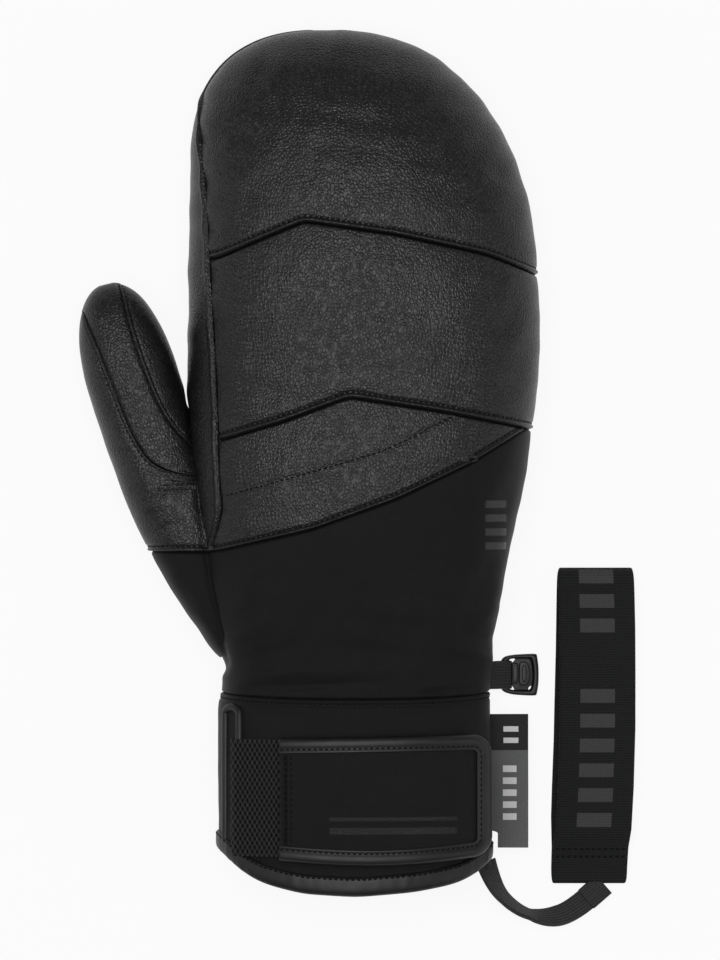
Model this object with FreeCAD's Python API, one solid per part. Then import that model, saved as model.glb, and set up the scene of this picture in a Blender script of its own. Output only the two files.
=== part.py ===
import FreeCAD, Part
import math
import os
from FreeCAD import Vector

# Right-hand ski mitten lying palm down, with wrist strap, glove clip and wrist leash. Millimetres.
# +X points to the little finger side, +Y to the fingertips and +Z up, away from the palm.
# The origin is the middle of the flat face that the palm rests on.

# ---- overall sizes ----
half_palm_width = 58.0      # centre line to the widest point of the hand
fingertip_reach = 130.3     # origin to the fingertip
wrist_reach = 93.0          # origin to the wrist seam
cuff_length = 68.0          # wrist seam to the lowest point of the hem
half_cuff_width = 46.0
cuff_centre_x = -4.0
back_height = 52.0          # resting plane to the top of the hand's back
cuff_height = 48.0
side_seam_height = 19.0     # widest line of every cross-section
tip_seam_height = 15.0
tip_centre_x = -13.0
palm_seam_height = 9.0      # where the palm leather meets the back and the sides
inner_seam_height = 16.5    # where the back and the palm halves of the inner layers meet

# ---- layers, from the outside in ----
shell_thickness = 1.3
membrane_thickness = 0.5
insulation_thickness = 3.8
lining_thickness = 1.4
cuff_lining_thickness = 1.9
grip_patch_thickness = 1.0

# ---- clearances ----
moving_gap = 0.3            # between pieces that move on each other
past = 20.0                 # how far a cutting block runs past what it cuts

# ---- outline rows: share of the reach, left edge, right edge, height ----
# The edges are shares of half_palm_width and the height is a share of back_height.
# In cuff_rows the first is a share of cuff_length and the others of the cuff's own sizes.
hand_rows = [
    (1.0, -1.005, 0.988, 0.90),
    (0.65, -1.005, 0.988, 0.99),
    (0.27, -1.015, 0.988, 1.00),
    (0.06, -1.02, 0.970, 1.00),
    (-0.17, -1.015, 0.919, 1.00),
    (-0.43, -0.975, 0.833, 0.98),
    (-0.65, -0.915, 0.764, 0.94),
    (-0.82, -0.845, 0.724, 0.89),
    (-0.90, -0.815, 0.719, 0.875),
]
cuff_rows = [
    (0.02, -0.985, 0.99, 0.94),
    (0.12, -1.0, 0.99, 0.97),
    (0.45, -1.0, 1.0, 1.00),
    (0.80, -1.0, 1.0, 1.00),
    (1.20, -0.99, 0.99, 0.98),
]
left_shoulder = 0.65        # share of fingertip_reach where the tip starts to round off
right_shoulder = 0.27
back_shoulder = 0.30
palm_shoulder = 0.66
left_tip_power = 2.5
right_tip_power = 2.3
height_tip_power = 2.3
back_power = 2.3            # roundness of the upper half of a section, where 2 is an ellipse
palm_power = 3.2
palm_drop = 1.5             # how far the palm would reach below its flat without the flat
hem_rise = 17.0             # how much shorter the cuff is at its sides than in the middle
hem_power = 3.3

# ---- seams on the back: points from the thumb side to the little finger side ----
knuckle_seam = [(-70, 50.5), (-49, 53.5), (-20, 64.5), (10, 60.5), (40, 54.5), (70, 43.5)]
hand_seam = [(-70, -10.5), (-47, -6.5), (-28, -1.0), (-5, 6.8), (25, 2.5), (54, -3.0), (70, -6.5)]
leather_seam = [(-70, -46), (-51, -44), (-18, -36.5), (10, -26.5), (35, -14.5), (53, -3.3), (70, 4)]
side_panel_width = 8.0
side_panel_end = -44.0

# ---- thumb ----
# In this group x is measured from the hand's thumb edge, at -half_palm_width.
thumb_base = (16.0, -76.0)
thumb_bend = (-14.0, -14.0)
thumb_tip = (-28.6, 45.3)
thumb_half_width = 15.2
thumb_half_height = 14.0
thumb_base_share = 0.50     # half width at the wrist end as a share of thumb_half_width
thumb_dome = 0.72           # share of the length where the tip starts to round off
thumb_tip_power = 2.2
thumb_power = 2.2
thumb_axis_inset = 21.0     # the hinge line runs this far inside the hand's thumb edge
thumb_axis_y = 16.0
thumb_axis_rise = 1.0       # and this far above the side seam
thumb_axis_lean = 0.079     # its move towards +X for each millimetre towards the wrist
thumb_socket_radius = 24.8
thumb_palm_seam_height = 12.0
thumb_outer_seam = [(-39, 42), (-33.5, 30), (-28, 16.7), (-19, -6.7), (-10.7, -17.3), (8, -19)]
thumb_inner_seam = [(-26, 52), (-22.5, 38), (-18.7, 24), (-10.7, 3.3), (-2, -7.5), (8, -13)]

# ---- grip patch on the palm ----
patch_half_width = 36.0
patch_half_length = 60.0
patch_corner = 14.0

# ---- wrist strap ----
strap_start = 14.0          # wrist seam to the strap
strap_width = 39.5
strap_taper = 3.5           # how much narrower the tab is at its free end
slot_inset = 3.8            # cuff's thumb edge to the slot that the elastic goes through
elastic_thickness = 1.7
elastic_margin = 1.0
hinge_inset = 20.0          # cuff's thumb edge to the line where the elastic folds
hinge_room = 3.0            # free elastic on each side of the fold
hinge_lift = 3.9            # fold line above the cuff
tab_inset = 0.2             # cuff's little finger edge to the tab's end
tab_corner = 6.5
loop_patch_thickness = 1.5
hook_patch_thickness = 1.2
tab_thickness = 2.4
binding_width = 5.0
binding_lip = 0.5
patch_start = 7.0           # from the tab's root to the hook patch
patch_margin = 6.5
loop_patch_margin = 4.0

# ---- slot at the thumb side of the cuff ----
slot_width = 1.6
slot_lip_width = 1.9
slot_lip_height = 1.3
slot_turn_width = 6.6       # outer width of the lip's turn at the top
slot_start = 2.6            # wrist seam to the lip's turn
slot_run_out = 2.5          # strap's lower edge to the end of the lip

# ---- hem ----
hem_band = 6.5
hem_lip = 0.9
hem_fold = 1.5              # the band's solid fold below the panels that it wraps

# ---- glove clip ----
clip_above_wrist = 7.7
clip_z = 2.5
clip_reach = 5.2            # cuff's little finger edge to the bar
clip_bar_radius = 0.9
clip_length = 10.5          # bar to the nose
clip_half_width = 7.0
clip_thickness = 3.0
clip_rail = 1.7
clip_nose = 2.3
clip_corner = 2.0
clip_webbing_width = 9.4
clip_webbing_thickness = 1.1
tongue_half_width = 3.9
tongue_thickness = 1.1
crossbar = 1.2

# ---- side label ----
label_start = 5.3           # wrist seam to the label
label_length = 44.7
label_reach = 12.3          # cuff's little finger edge to the label's free edge
label_thickness = 0.7
label_gap = 0.7
label_notch = 3.0           # cut-out that clears the hem binding

# ---- wrist leash ----
# In this group x is measured from the cuff's little finger edge and y from the lowest point of the hem.
cord_width = 8.0
cord_tube = 3.6             # round tube with the section area of the flat webbing
cord_points = [
    (-1.8, 13.0, 6.3), (0.3, 6.6, 5.2), (4.6, 0.3, 3.6), (11.2, -4.4, 2.3),
    (19.0, -6.0, 1.9), (26.8, -4.0, 2.1), (33.0, 1.4, 3.0),
]
cord_arc_share = 0.45       # of the shorter run beside each corner
anchor_length = 9.0
anchor_thickness = 1.8
anchor_low = 4.2
anchor_high = 8.0
tack_length = 8.0
tack_height = 3.2
wrist_loop_middle = 34.2
wrist_loop_start = 5.7
wrist_loop_length = 106.0
wrist_loop_width = 26.4
wrist_loop_band = 1.7
wrist_loop_height = 8.6
wrist_elastic_thickness = 1.2
wrist_elastic_width = 7.0

# ---- places that follow from the sizes ----
thumb_edge = -half_palm_width
thumb_axis_x = thumb_edge + thumb_axis_inset
thumb_axis_z = side_seam_height + thumb_axis_rise
cuff_left = cuff_centre_x - half_cuff_width
cuff_right = cuff_centre_x + half_cuff_width
strap_top = -wrist_reach - strap_start
strap_bottom = strap_top - strap_width
strap_left = cuff_left + slot_inset
hinge_x = cuff_left + hinge_inset
tab_right = cuff_right - tab_inset
slot_top = -wrist_reach - slot_start
slot_bottom = strap_bottom + slot_run_out
clip_y = -wrist_reach + clip_above_wrist
clip_bar_x = cuff_right + clip_reach
label_top = -wrist_reach - label_start
label_bottom = label_top - label_length
label_out = cuff_right + label_reach
hem_low = -wrist_reach - cuff_length
wrist_loop_x = cuff_right + wrist_loop_middle
wrist_loop_bottom = hem_low + wrist_loop_start
wrist_loop_top = wrist_loop_bottom + wrist_loop_length

# depths under the outside; a negative depth is above it
membrane_depth = shell_thickness
insulation_depth = membrane_depth + membrane_thickness
lining_depth = insulation_depth + insulation_thickness
cavity_depth = lining_depth + lining_thickness
cuff_cavity_depth = shell_thickness + cuff_lining_thickness
wrist_elastic_depth = cuff_cavity_depth + wrist_elastic_thickness
hook_depth = -loop_patch_thickness - moving_gap
face_depth = hook_depth - hook_patch_thickness
tab_top_depth = face_depth - tab_thickness

section_points = 24
tip_steps = [0.4, 1.8, 4.5, 9.0, 15.0, 23.0, 34.0, 48.0, 66.0, 88.0]
hand_steps = 9
cuff_steps = 6
thumb_shares = [0.0, 0.12, 0.25, 0.38, 0.50, 0.60, 0.70, 0.78, 0.85, 0.91, 0.955, 0.985, 0.998]
high = 90.0                 # above everything


# ---- shape functions ----

def between(rows, at):
    """Smooth cubic through rows of (position, value, value, ...) at one position."""
    at = min(max(at, rows[0][0]), rows[-1][0])
    i = max(k for k in range(len(rows) - 1) if rows[k][0] <= at)
    this, following = rows[i], rows[i + 1]
    before, after = rows[max(i - 1, 0)], rows[min(i + 2, len(rows) - 1)]
    span = following[0] - this[0]
    t = (at - this[0]) / span
    values = []
    for c in range(1, len(this)):
        slope_in = (following[c] - before[c]) / (following[0] - before[0]) * span
        slope_out = (after[c] - this[c]) / (after[0] - this[0]) * span
        start = (2 * t**3 - 3 * t**2 + 1) * this[c] + (t**3 - 2 * t**2 + t) * slope_in
        end = (3 * t**2 - 2 * t**3) * following[c] + (t**3 - t**2) * slope_out
        values.append(start + end)
    return values


def outline_rows():
    """Rows of (y, left edge, right edge, height) from past the hem to the fingertip."""
    rows = []
    for share, left, right, height in hand_rows:
        reach = fingertip_reach if share > 0 else wrist_reach
        rows.append((share * reach, left * half_palm_width, right * half_palm_width, height * back_height))
    for share, left, right, height in cuff_rows:
        y = -wrist_reach - share * cuff_length
        left_x = cuff_centre_x + left * half_cuff_width
        right_x = cuff_centre_x + right * half_cuff_width
        rows.append((y, left_x, right_x, height * cuff_height))
    return sorted(rows)


rows = outline_rows()


def dome(at, start, end, power):
    """1 up to start, then a rounded fall to 0 at end."""
    if at <= start:
        return 1.0
    return (1 - min((at - start) / (end - start), 1.0)**power)**(1 / power)


def edges(y, depth=0.0):
    """Left edge, right edge, seam height, top and bottom of the section at y, that deep inside."""
    tip = fingertip_reach - depth
    left_y = min(y, left_shoulder * fingertip_reach)
    right_y = min(y, right_shoulder * fingertip_reach)
    back_y = min(y, back_shoulder * fingertip_reach)
    left = between(rows, left_y)[0]
    right = between(rows, right_y)[1]
    height = between(rows, back_y)[2]
    rise = max(0.0, (y - back_y) / (fingertip_reach - back_y))
    seam = side_seam_height + (tip_seam_height - side_seam_height) * rise**2 * (3 - 2 * rise)
    floor = grip_patch_thickness - palm_drop
    palm_y = palm_shoulder * fingertip_reach
    left = tip_centre_x - (tip_centre_x - left - depth) * dome(y, left_y, tip, left_tip_power)
    right = tip_centre_x + (right - depth - tip_centre_x) * dome(y, right_y, tip, right_tip_power)
    top = seam + (height - depth - seam) * dome(y, back_y, tip, height_tip_power)
    bottom = seam - (seam - floor - depth) * dome(y, palm_y, tip, height_tip_power)
    return left, right, seam, top, bottom


def signed_power(value, power):
    return math.copysign(abs(value)**power, value)


def closed_curve(points):
    """A smooth closed wire with evenly spaced parameters, so that lofts over it stay light."""
    curve = Part.BSplineCurve()
    knots = [float(i) for i in range(len(points) + 1)]
    curve.interpolate(Points=points, PeriodicFlag=True, Parameters=knots)
    return Part.Wire(curve.toShape())


def section_angles():
    return [2 * math.pi * i / section_points for i in range(section_points)]


def section(y, depth):
    left, right, seam, top, bottom = edges(y, depth)
    half_reach = fingertip_reach / 2
    tipness = max(0.0, (y - half_reach) / half_reach)
    centre = (left + right) / 2
    half = (right - left) / 2
    points = []
    for angle in section_angles():
        upper = math.sin(angle) >= 0
        power = back_power if upper else palm_power
        power += (2 - power) * tipness
        rise = top - seam if upper else seam - bottom
        x = centre + half * signed_power(math.cos(angle), 2 / power)
        z = seam + rise * signed_power(math.sin(angle), 2 / power)
        points.append(Vector(x, y, z))
    return closed_curve(points)


def body(depth):
    """The solid inside the mitten's surface, that deep inside; it runs past the hem."""
    tip = fingertip_reach - depth
    places = [tip - step for step in tip_steps]
    start = places[-1]
    wrist = -wrist_reach
    places += [start + (wrist - start) * k / hand_steps for k in range(1, hand_steps + 1)]
    end = wrist - cuff_length - past / 2
    places += [wrist + (end - wrist) * k / cuff_steps for k in range(1, cuff_steps + 1)]
    return Part.makeLoft([section(y, depth) for y in reversed(places)], True, False)


def block(x0, x1, y0, y1, z0, z1):
    return Part.makeBox(x1 - x0, y1 - y0, z1 - z0, Vector(x0, y0, z0))


def layer_body(depth):
    """body, with the palm pressed flat on the resting plane."""
    floor = grip_patch_thickness + depth
    return body(depth).common(block(-200, 200, -300, 200, floor, high))


def prism(points, z0=-past, z1=high):
    """A vertical block over a plan outline of (x, y) points."""
    wire = Part.makePolygon([Vector(x, y, z0) for x, y in points + points[:1]])
    return Part.Face(wire).extrude(Vector(0, 0, z1 - z0))


def seam_side(seam, above):
    """The plan area on the finger side of a seam line, or on its wrist side, as a vertical block."""
    far = fingertip_reach + past if above else -wrist_reach - cuff_length - past
    reach = 2 * half_palm_width
    line = [(-reach, seam[0][1])] + seam + [(reach, seam[-1][1])]
    return prism(line + [(reach, far), (-reach, far)])


def hem_y(x, shift=0.0):
    off_centre = abs(x - cuff_centre_x) / half_cuff_width
    return -wrist_reach - cuff_length + shift + hem_rise * off_centre**hem_power


def above_hem(shift=0.0):
    """Everything on the finger side of the hem line, moved shift towards the fingers."""
    reach = 1.25 * half_cuff_width
    xs = [cuff_centre_x + reach * k / 6 for k in range(-6, 7)]
    curve = Part.BSplineCurve()
    curve.interpolate([Vector(x, hem_y(x, shift), -past) for x in xs])
    first, last = curve.StartPoint, curve.EndPoint
    far = fingertip_reach + past
    side = 2 * half_palm_width
    corners = [
        last, Vector(side, last.y, -past), Vector(side, far, -past),
        Vector(-side, far, -past), Vector(-side, first.y, -past), first,
    ]
    lines = [Part.makeLine(a, b) for a, b in zip(corners, corners[1:])]
    return Part.Face(Part.Wire([curve.toShape()] + lines)).extrude(Vector(0, 0, high + past))


def round_ended_block(x0, x1, y0, y1):
    """A vertical block from y0 to y1 whose +Y end is a half circle."""
    radius = (x1 - x0) / 2
    side = block(x0, x1, y0, y1 - radius, -past, high)
    turn = Part.makeCylinder(radius, high + past, Vector((x0 + x1) / 2, y1 - radius, -past))
    return side.fuse(turn)


def rounded_plate(x0, x1, y0, y1, z0, z1, radius):
    plate = block(x0, x1, y0, y1, z0, z1)
    upright = [e for e in plate.Edges if abs(e.tangentAt(e.FirstParameter).z) > 0.9]
    return plate.makeFillet(radius, upright)


def side_x(y, z, sign):
    """The outside's x at y and z below the side seam height, on the +X (1) or -X (-1) side."""
    left, right, seam, _, bottom = edges(y)
    share = (seam - z) / (seam - bottom)
    half = (right - left) / 2 * (1 - share**palm_power)**(1 / palm_power)
    return (left + right) / 2 + sign * half


def top_z(x, y):
    """The outside's z at x and y on the back."""
    left, right, seam, top, _ = edges(y)
    share = abs(x - (left + right) / 2) / ((right - left) / 2)
    return seam + (top - seam) * (1 - share**back_power)**(1 / back_power)


def largest(shape):
    """The one solid of a cut, without crumbs that the cut may leave beside it."""
    return max(shape.Solids, key=lambda solid: solid.Volume)


def save(name, shape):
    if not shape.isValid() or shape.Volume <= 0:
        print("check this shape:", name)
    shape.exportStep("parts/" + name + ".step")
    print(name, len(shape.Solids), round(shape.Volume))


# ---- thumb shapes ----

def thumb_place(share):
    """The thumb's centre line at that share of its length, and its direction in plan."""
    (x0, y0), (x1, y1), (x2, y2) = thumb_base, thumb_bend, thumb_tip
    back = 1 - share
    x = thumb_edge + back**2 * x0 + 2 * share * back * x1 + share**2 * x2
    y = back**2 * y0 + 2 * share * back * y1 + share**2 * y2
    dx = 2 * back * (x1 - x0) + 2 * share * (x2 - x1)
    dy = 2 * back * (y1 - y0) + 2 * share * (y2 - y1)
    return Vector(x, y, side_seam_height), Vector(dx, dy, 0).normalize()


def thumb_body(depth):
    """The solid inside the thumb's surface, that deep inside; it starts inside the hand."""
    end = 1 - depth / math.dist(thumb_base, thumb_tip)
    wires = []
    for place in thumb_shares:
        share = place * end
        centre, direction = thumb_place(share)
        sideways = Vector(direction.y, -direction.x, 0)
        swell = math.sin(min(share / 0.45, 1.0) * math.pi / 2)
        roundness = dome(share, thumb_dome, end, thumb_tip_power)
        base_share = thumb_base_share + (1 - thumb_base_share) * swell
        half_width = (thumb_half_width * base_share - depth) * roundness
        half_height = (thumb_half_height * (0.85 + 0.15 * swell) - depth) * roundness
        points = []
        for angle in section_angles():
            across = half_width * signed_power(math.cos(angle), 2 / thumb_power)
            up = half_height * signed_power(math.sin(angle), 2 / thumb_power)
            points.append(centre + sideways * across + Vector(0, 0, up))
        wires.append(closed_curve(points))
    return Part.makeLoft(wires, True, False)


def thumb_socket(radius):
    """The cylinder round the thumb's hinge line."""
    direction = Vector(thumb_axis_lean, -1, 0).normalize()
    middle = Vector(thumb_axis_x, thumb_axis_y, thumb_axis_z)
    reach = 2 * half_palm_width
    return Part.makeCylinder(radius, 2 * reach, middle - direction * reach, direction)


# ---- layers of the hand and the cuff ----

os.makedirs("parts", exist_ok=True)

outside = layer_body(0.0)
under_shell = layer_body(membrane_depth)
under_membrane = layer_body(insulation_depth)
under_insulation = layer_body(lining_depth)
cavity = layer_body(cavity_depth)
cuff_cavity = layer_body(cuff_cavity_depth)

thumb_outside = thumb_body(0.0)
thumb_under_shell = thumb_body(membrane_depth)
thumb_under_membrane = thumb_body(insulation_depth)
thumb_under_insulation = thumb_body(lining_depth)
thumb_cavity = thumb_body(cavity_depth)

low = -past
wrist_y = -wrist_reach
far_y = wrist_y - cuff_length - past
tip_y = fingertip_reach + past
wide = 2 * half_palm_width
hand_room = block(-wide, wide, wrist_y, tip_y, low, high)
cuff_room = block(-wide, wide, far_y, wrist_y, low, high)
above_palm_seam = block(-wide, wide, far_y, tip_y, palm_seam_height, high)
below_palm_seam = block(-wide, wide, far_y, tip_y, low, palm_seam_height)
upper_half = block(-wide, wide, far_y, tip_y, inner_seam_height, high)
lower_half = block(-wide, wide, far_y, tip_y, low, inner_seam_height)

# ---- hand shell: leather and softshell panels ----

hand_shell = outside.cut(under_shell).common(hand_room).cut(thumb_outside)
palm_panel = hand_shell.common(below_palm_seam)
save("palm_panel", largest(palm_panel))

back_shell = hand_shell.common(above_palm_seam)
side_line = [(edges(y)[0] + side_panel_width, y) for y in (side_panel_end, -20, 0, 20, 40, 60, 80, 95, 107, 115)]
side_line += [(edges(y)[0] + side_panel_width, y) for y in (120.0, 124.0)]
side_line += [(tip_centre_x - 2 * side_panel_width, tip_y)]
side_area = prism([(-wide, side_panel_end)] + side_line + [(-wide, tip_y)])
save("index_side_panel", largest(back_shell.common(side_area)))

inner_back = back_shell.cut(side_area)
above_knuckles = seam_side(knuckle_seam, True)
below_knuckles = seam_side(knuckle_seam, False)
above_hand_seam = seam_side(hand_seam, True)
below_hand_seam = seam_side(hand_seam, False)
above_leather_seam = seam_side(leather_seam, True)
below_leather_seam = seam_side(leather_seam, False)
save("fingertip_back_panel", largest(inner_back.common(above_knuckles)))
save("knuckle_back_panel", largest(inner_back.common(below_knuckles).common(above_hand_seam)))
save("lower_back_panel", largest(inner_back.common(below_hand_seam).common(above_leather_seam)))
save("hand_back_panel", largest(inner_back.common(below_leather_seam).common(below_hand_seam)))

patch = rounded_plate(
    -patch_half_width, patch_half_width, -patch_half_length, patch_half_length,
    0.0, grip_patch_thickness, patch_corner)
save("palm_grip_patch", patch)

# ---- hand layers under the shell ----

membrane = under_shell.cut(under_membrane).common(hand_room).cut(thumb_under_shell)
save("membrane_insert", largest(membrane))
insulation = under_membrane.cut(under_insulation).common(hand_room).cut(thumb_cavity)
save("back_insulation", largest(insulation.common(upper_half)))
save("palm_insulation", largest(insulation.common(lower_half)))
lining = under_insulation.cut(cavity).common(hand_room).cut(thumb_cavity)
save("back_lining", largest(lining.common(upper_half)))
save("palm_lining", largest(lining.common(lower_half)))

# ---- thumb: its root belongs to the hand, the rest turns round the hinge line ----

root_room = thumb_socket(thumb_socket_radius - moving_gap)
gusset = thumb_outside.cut(thumb_under_shell).common(root_room).cut(under_shell)
save("thumb_gusset", largest(gusset))
root_padding = thumb_under_shell.cut(thumb_cavity).common(root_room).cut(under_membrane)
save("thumb_root_padding", largest(root_padding))

socket = thumb_socket(thumb_socket_radius).fuse(layer_body(-moving_gap))
thumb_shell = thumb_outside.cut(thumb_under_shell).cut(socket)
above_thumb_palm = block(-wide, wide, far_y, tip_y, thumb_palm_seam_height, high)
finger_side = block(-wide, wide, side_panel_end, tip_y, low, high)
thumb_back = thumb_shell.common(above_thumb_palm).common(finger_side)
outer_line = [(thumb_edge + x, y) for x, y in thumb_outer_seam]
inner_line = [(thumb_edge + x, y) for x, y in thumb_inner_seam]
outer_corner = (outer_line[-1][0], side_panel_end)
inner_corner = (inner_line[-1][0], tip_y)
outer_area = prism([(-wide, outer_line[0][1])] + outer_line + [outer_corner, (-wide, side_panel_end)])
inner_area = prism([(inner_line[0][0], tip_y)] + inner_line + [inner_corner])
save("thumb_outer_panel", largest(thumb_back.common(outer_area)))
save("thumb_inner_panel", largest(thumb_back.common(inner_area)))
save("thumb_center_strip", largest(thumb_back.cut(outer_area).cut(inner_area)))
save("thumb_palm_panel", largest(thumb_shell.cut(above_thumb_palm).common(finger_side)))
save("thumb_base_panel", largest(thumb_shell.cut(finger_side)))
save("thumb_membrane", largest(thumb_under_shell.cut(thumb_under_membrane).cut(socket)))
save("thumb_insulation", largest(thumb_under_membrane.cut(thumb_under_insulation).cut(socket)))
save("thumb_lining", largest(thumb_under_insulation.cut(thumb_cavity).cut(socket)))

# ---- cuff ----

cuff_layers = cuff_room.common(above_hem(hem_fold))
cuff_shell = outside.cut(under_shell).common(cuff_layers)
cuff_back = cuff_shell.common(above_palm_seam)
slot_right = strap_left + slot_width
slot = block(strap_left, slot_right, strap_bottom, strap_top, inner_seam_height, high)
save("cuff_back_panel", largest(cuff_back.cut(slot)))
save("cuff_palm_panel", largest(cuff_shell.common(below_palm_seam)))
cuff_lining = under_shell.cut(cuff_cavity).common(cuff_layers)
save("cuff_lining", largest(cuff_lining))

wrist_band = block(-wide, wide, wrist_y - wrist_elastic_width, wrist_y, low, high)
wrist_elastic = cuff_cavity.cut(layer_body(wrist_elastic_depth)).common(wrist_band)
save("wrist_elastic", largest(wrist_elastic))

hem_outside = layer_body(-hem_lip)
hem_inside = layer_body(cuff_cavity_depth + hem_lip)
hem = hem_outside.cut(hem_inside).common(above_hem(0.0)).cut(above_hem(hem_band))
save("cuff_hem_binding", largest(hem.cut(cuff_shell).cut(cuff_lining)))

lip_left = strap_left - slot_lip_width
lip_right = lip_left + slot_turn_width
lip_outer = round_ended_block(lip_left, lip_right, slot_bottom, slot_top)
lip_inner = round_ended_block(
    lip_left + slot_lip_width, lip_right - slot_lip_width, far_y, slot_top - slot_lip_width)
lip_end = block(lip_left + slot_lip_width, wide, far_y, strap_top + moving_gap, low, high)
raised_lip = layer_body(-slot_lip_height).cut(outside).common(upper_half).cut(hem)
save("slot_binding", largest(raised_lip.common(lip_outer).cut(lip_inner).cut(lip_end)))

# ---- wrist strap ----

elastic_end = hinge_x - hinge_room
elastic_top = strap_top - elastic_margin
elastic_bottom = strap_bottom + elastic_margin
over_elastic = layer_body(-elastic_thickness)
elastic_run = over_elastic.cut(outside).common(
    block(strap_left, elastic_end, elastic_bottom, elastic_top, inner_seam_height, high))
elastic_root = over_elastic.cut(under_shell).common(
    block(strap_left, slot_right, elastic_bottom, elastic_top, inner_seam_height, high))
save("strap_elastic", largest(elastic_run.fuse(elastic_root).cut(hem)))

tab_left = hinge_x + hinge_room


def tab_area(inset_left, inset):
    """The tab's plan outline, drawn in by inset, as a vertical block."""
    x0, x1 = tab_left + inset_left, tab_right - inset
    y0, y1 = strap_bottom + inset, strap_top - inset
    outline = prism([(x0, y0), (x1, y0 + strap_taper), (x1, y1), (x0, y1)])
    corners = [
        e for e in outline.Edges
        if abs(e.tangentAt(e.FirstParameter).z) > 0.9 and e.Vertexes[0].X > (x0 + x1) / 2
    ]
    return outline.makeFillet(tab_corner, corners)


loop_patch_area = tab_area(patch_start, loop_patch_margin)
loop_patch = layer_body(-loop_patch_thickness).cut(outside)
save("strap_loop_patch", largest(loop_patch.common(loop_patch_area)))

under_hook = layer_body(hook_depth)
under_face = layer_body(face_depth)
over_tab = layer_body(tab_top_depth)
hook_patch = under_face.cut(under_hook).common(tab_area(patch_start, patch_margin))
save("strap_hook_patch", largest(hook_patch))
face = over_tab.cut(under_face).common(tab_area(0.0, binding_lip))
save("strap_face", largest(face))
binding = layer_body(tab_top_depth - binding_lip).cut(layer_body(face_depth + binding_lip))
binding = binding.common(tab_area(0.0, 0.0).cut(tab_area(-past, binding_width)))
save("strap_binding", largest(binding.cut(face)))

# ---- glove clip at the little finger side of the wrist ----

clip_low = clip_z - clip_thickness / 2
clip_right = clip_bar_x + clip_length
clip_frame = rounded_plate(
    clip_bar_x - clip_bar_radius, clip_right, clip_y - clip_half_width, clip_y + clip_half_width,
    clip_low, clip_low + clip_thickness, clip_corner)
window_half = clip_half_width - clip_rail
webbing_ring = clip_bar_radius + moving_gap + clip_webbing_thickness
crossbar_x = clip_bar_x + webbing_ring + moving_gap
bar_window = block(
    clip_bar_x - past, crossbar_x, clip_y - window_half, clip_y + window_half, low, high)
nose_x = clip_right - clip_nose
tongue_window = block(
    crossbar_x + crossbar, nose_x, clip_y - window_half, clip_y + window_half, low, high)
bar = Part.makeCylinder(
    clip_bar_radius, 2 * window_half, Vector(clip_bar_x, clip_y - window_half, clip_z), Vector(0, 1, 0))
save("clip_frame", clip_frame.cut(bar_window).cut(tongue_window).fuse(bar).removeSplitter())

tongue_pin = tongue_thickness / 2
tongue_x = crossbar_x + crossbar + moving_gap + tongue_pin
tongue_end = nose_x - moving_gap
tongue = rounded_plate(
    tongue_x - tongue_pin, tongue_end, clip_y - tongue_half_width, clip_y + tongue_half_width,
    clip_z - tongue_pin, clip_z + tongue_pin, tongue_pin)
save("clip_tongue", tongue)

webbing_half = clip_webbing_width / 2
seam_x = side_x(clip_y, palm_seam_height, 1)
ring_outer = Part.makeCylinder(
    webbing_ring, clip_webbing_width, Vector(clip_bar_x, clip_y - webbing_half, clip_z), Vector(0, 1, 0))
ring_inner = Part.makeCylinder(
    clip_bar_radius + moving_gap, clip_webbing_width,
    Vector(clip_bar_x, clip_y - webbing_half, clip_z), Vector(0, 1, 0))
slope = math.atan2(palm_seam_height - clip_z, clip_bar_x - seam_x)
lift_x = webbing_ring * math.sin(slope)
lift_z = webbing_ring * math.cos(slope)
slack = clip_webbing_thickness / webbing_ring
strip_outline = [
    Vector(seam_x - 1, clip_y - webbing_half, palm_seam_height + lift_z),
    Vector(clip_bar_x + lift_x, clip_y - webbing_half, clip_z + lift_z),
    Vector(clip_bar_x + lift_x * (1 - slack), clip_y - webbing_half, clip_z + lift_z * (1 - slack)),
    Vector(seam_x - 1, clip_y - webbing_half, palm_seam_height + lift_z - clip_webbing_thickness),
]
strip = Part.Face(Part.makePolygon(strip_outline + strip_outline[:1]))
strip = strip.extrude(Vector(0, clip_webbing_width, 0))
save("clip_webbing", strip.fuse(ring_outer).cut(ring_inner).cut(outside).removeSplitter())

# ---- side label ----

label_x = side_x((label_top + label_bottom) / 2, palm_seam_height, 1) + label_gap
label_half = label_thickness / 2
label = block(
    label_x, label_out, label_bottom, label_top, palm_seam_height - label_half, palm_seam_height + label_half)
notch_top = hem_y(label_x + label_notch, hem_band) + hem_lip
label_corner = block(label_x, label_x + label_notch, label_bottom, notch_top, low, high)
save("side_label", label.cut(label_corner))

# ---- wrist leash ----

corners = [Vector(cuff_right + x, hem_low + y, z) for x, y, z in cord_points]
pieces = []
start = corners[0]
for before, corner, after in zip(corners, corners[1:], corners[2:]):
    back, forward = before - corner, after - corner
    turn = math.pi - back.getAngle(forward)
    reach = cord_arc_share * min(back.Length, forward.Length)
    bisector = (back.normalize() + forward.normalize()).normalize()
    radius = reach / math.tan(turn / 2)
    middle = corner + bisector * (math.hypot(radius, reach) - radius)
    arc_start, arc_end = corner + back * reach, corner + forward * reach
    pieces.append(Part.LineSegment(start, arc_start).toShape())
    pieces.append(Part.Arc(arc_start, middle, arc_end).toShape())
    print("leash radius", round(radius, 1), "turn", round(math.degrees(turn)))
    start = arc_end
pieces.append(Part.LineSegment(start, corners[-1]).toShape())
route = Part.Wire(pieces)
print("leash length", round(route.Length, 1))
first_run = (corners[1] - corners[0]).normalize()
tube_end = Part.Wire(Part.Circle(corners[0], first_run, cord_tube / 2).toShape())
leash = route.makePipeShell([tube_end], True, False)
print("leash volume ratio", round(leash.Volume / (math.pi * cord_tube**2 / 4 * route.Length), 3))
save("leash_webbing", leash)


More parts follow.
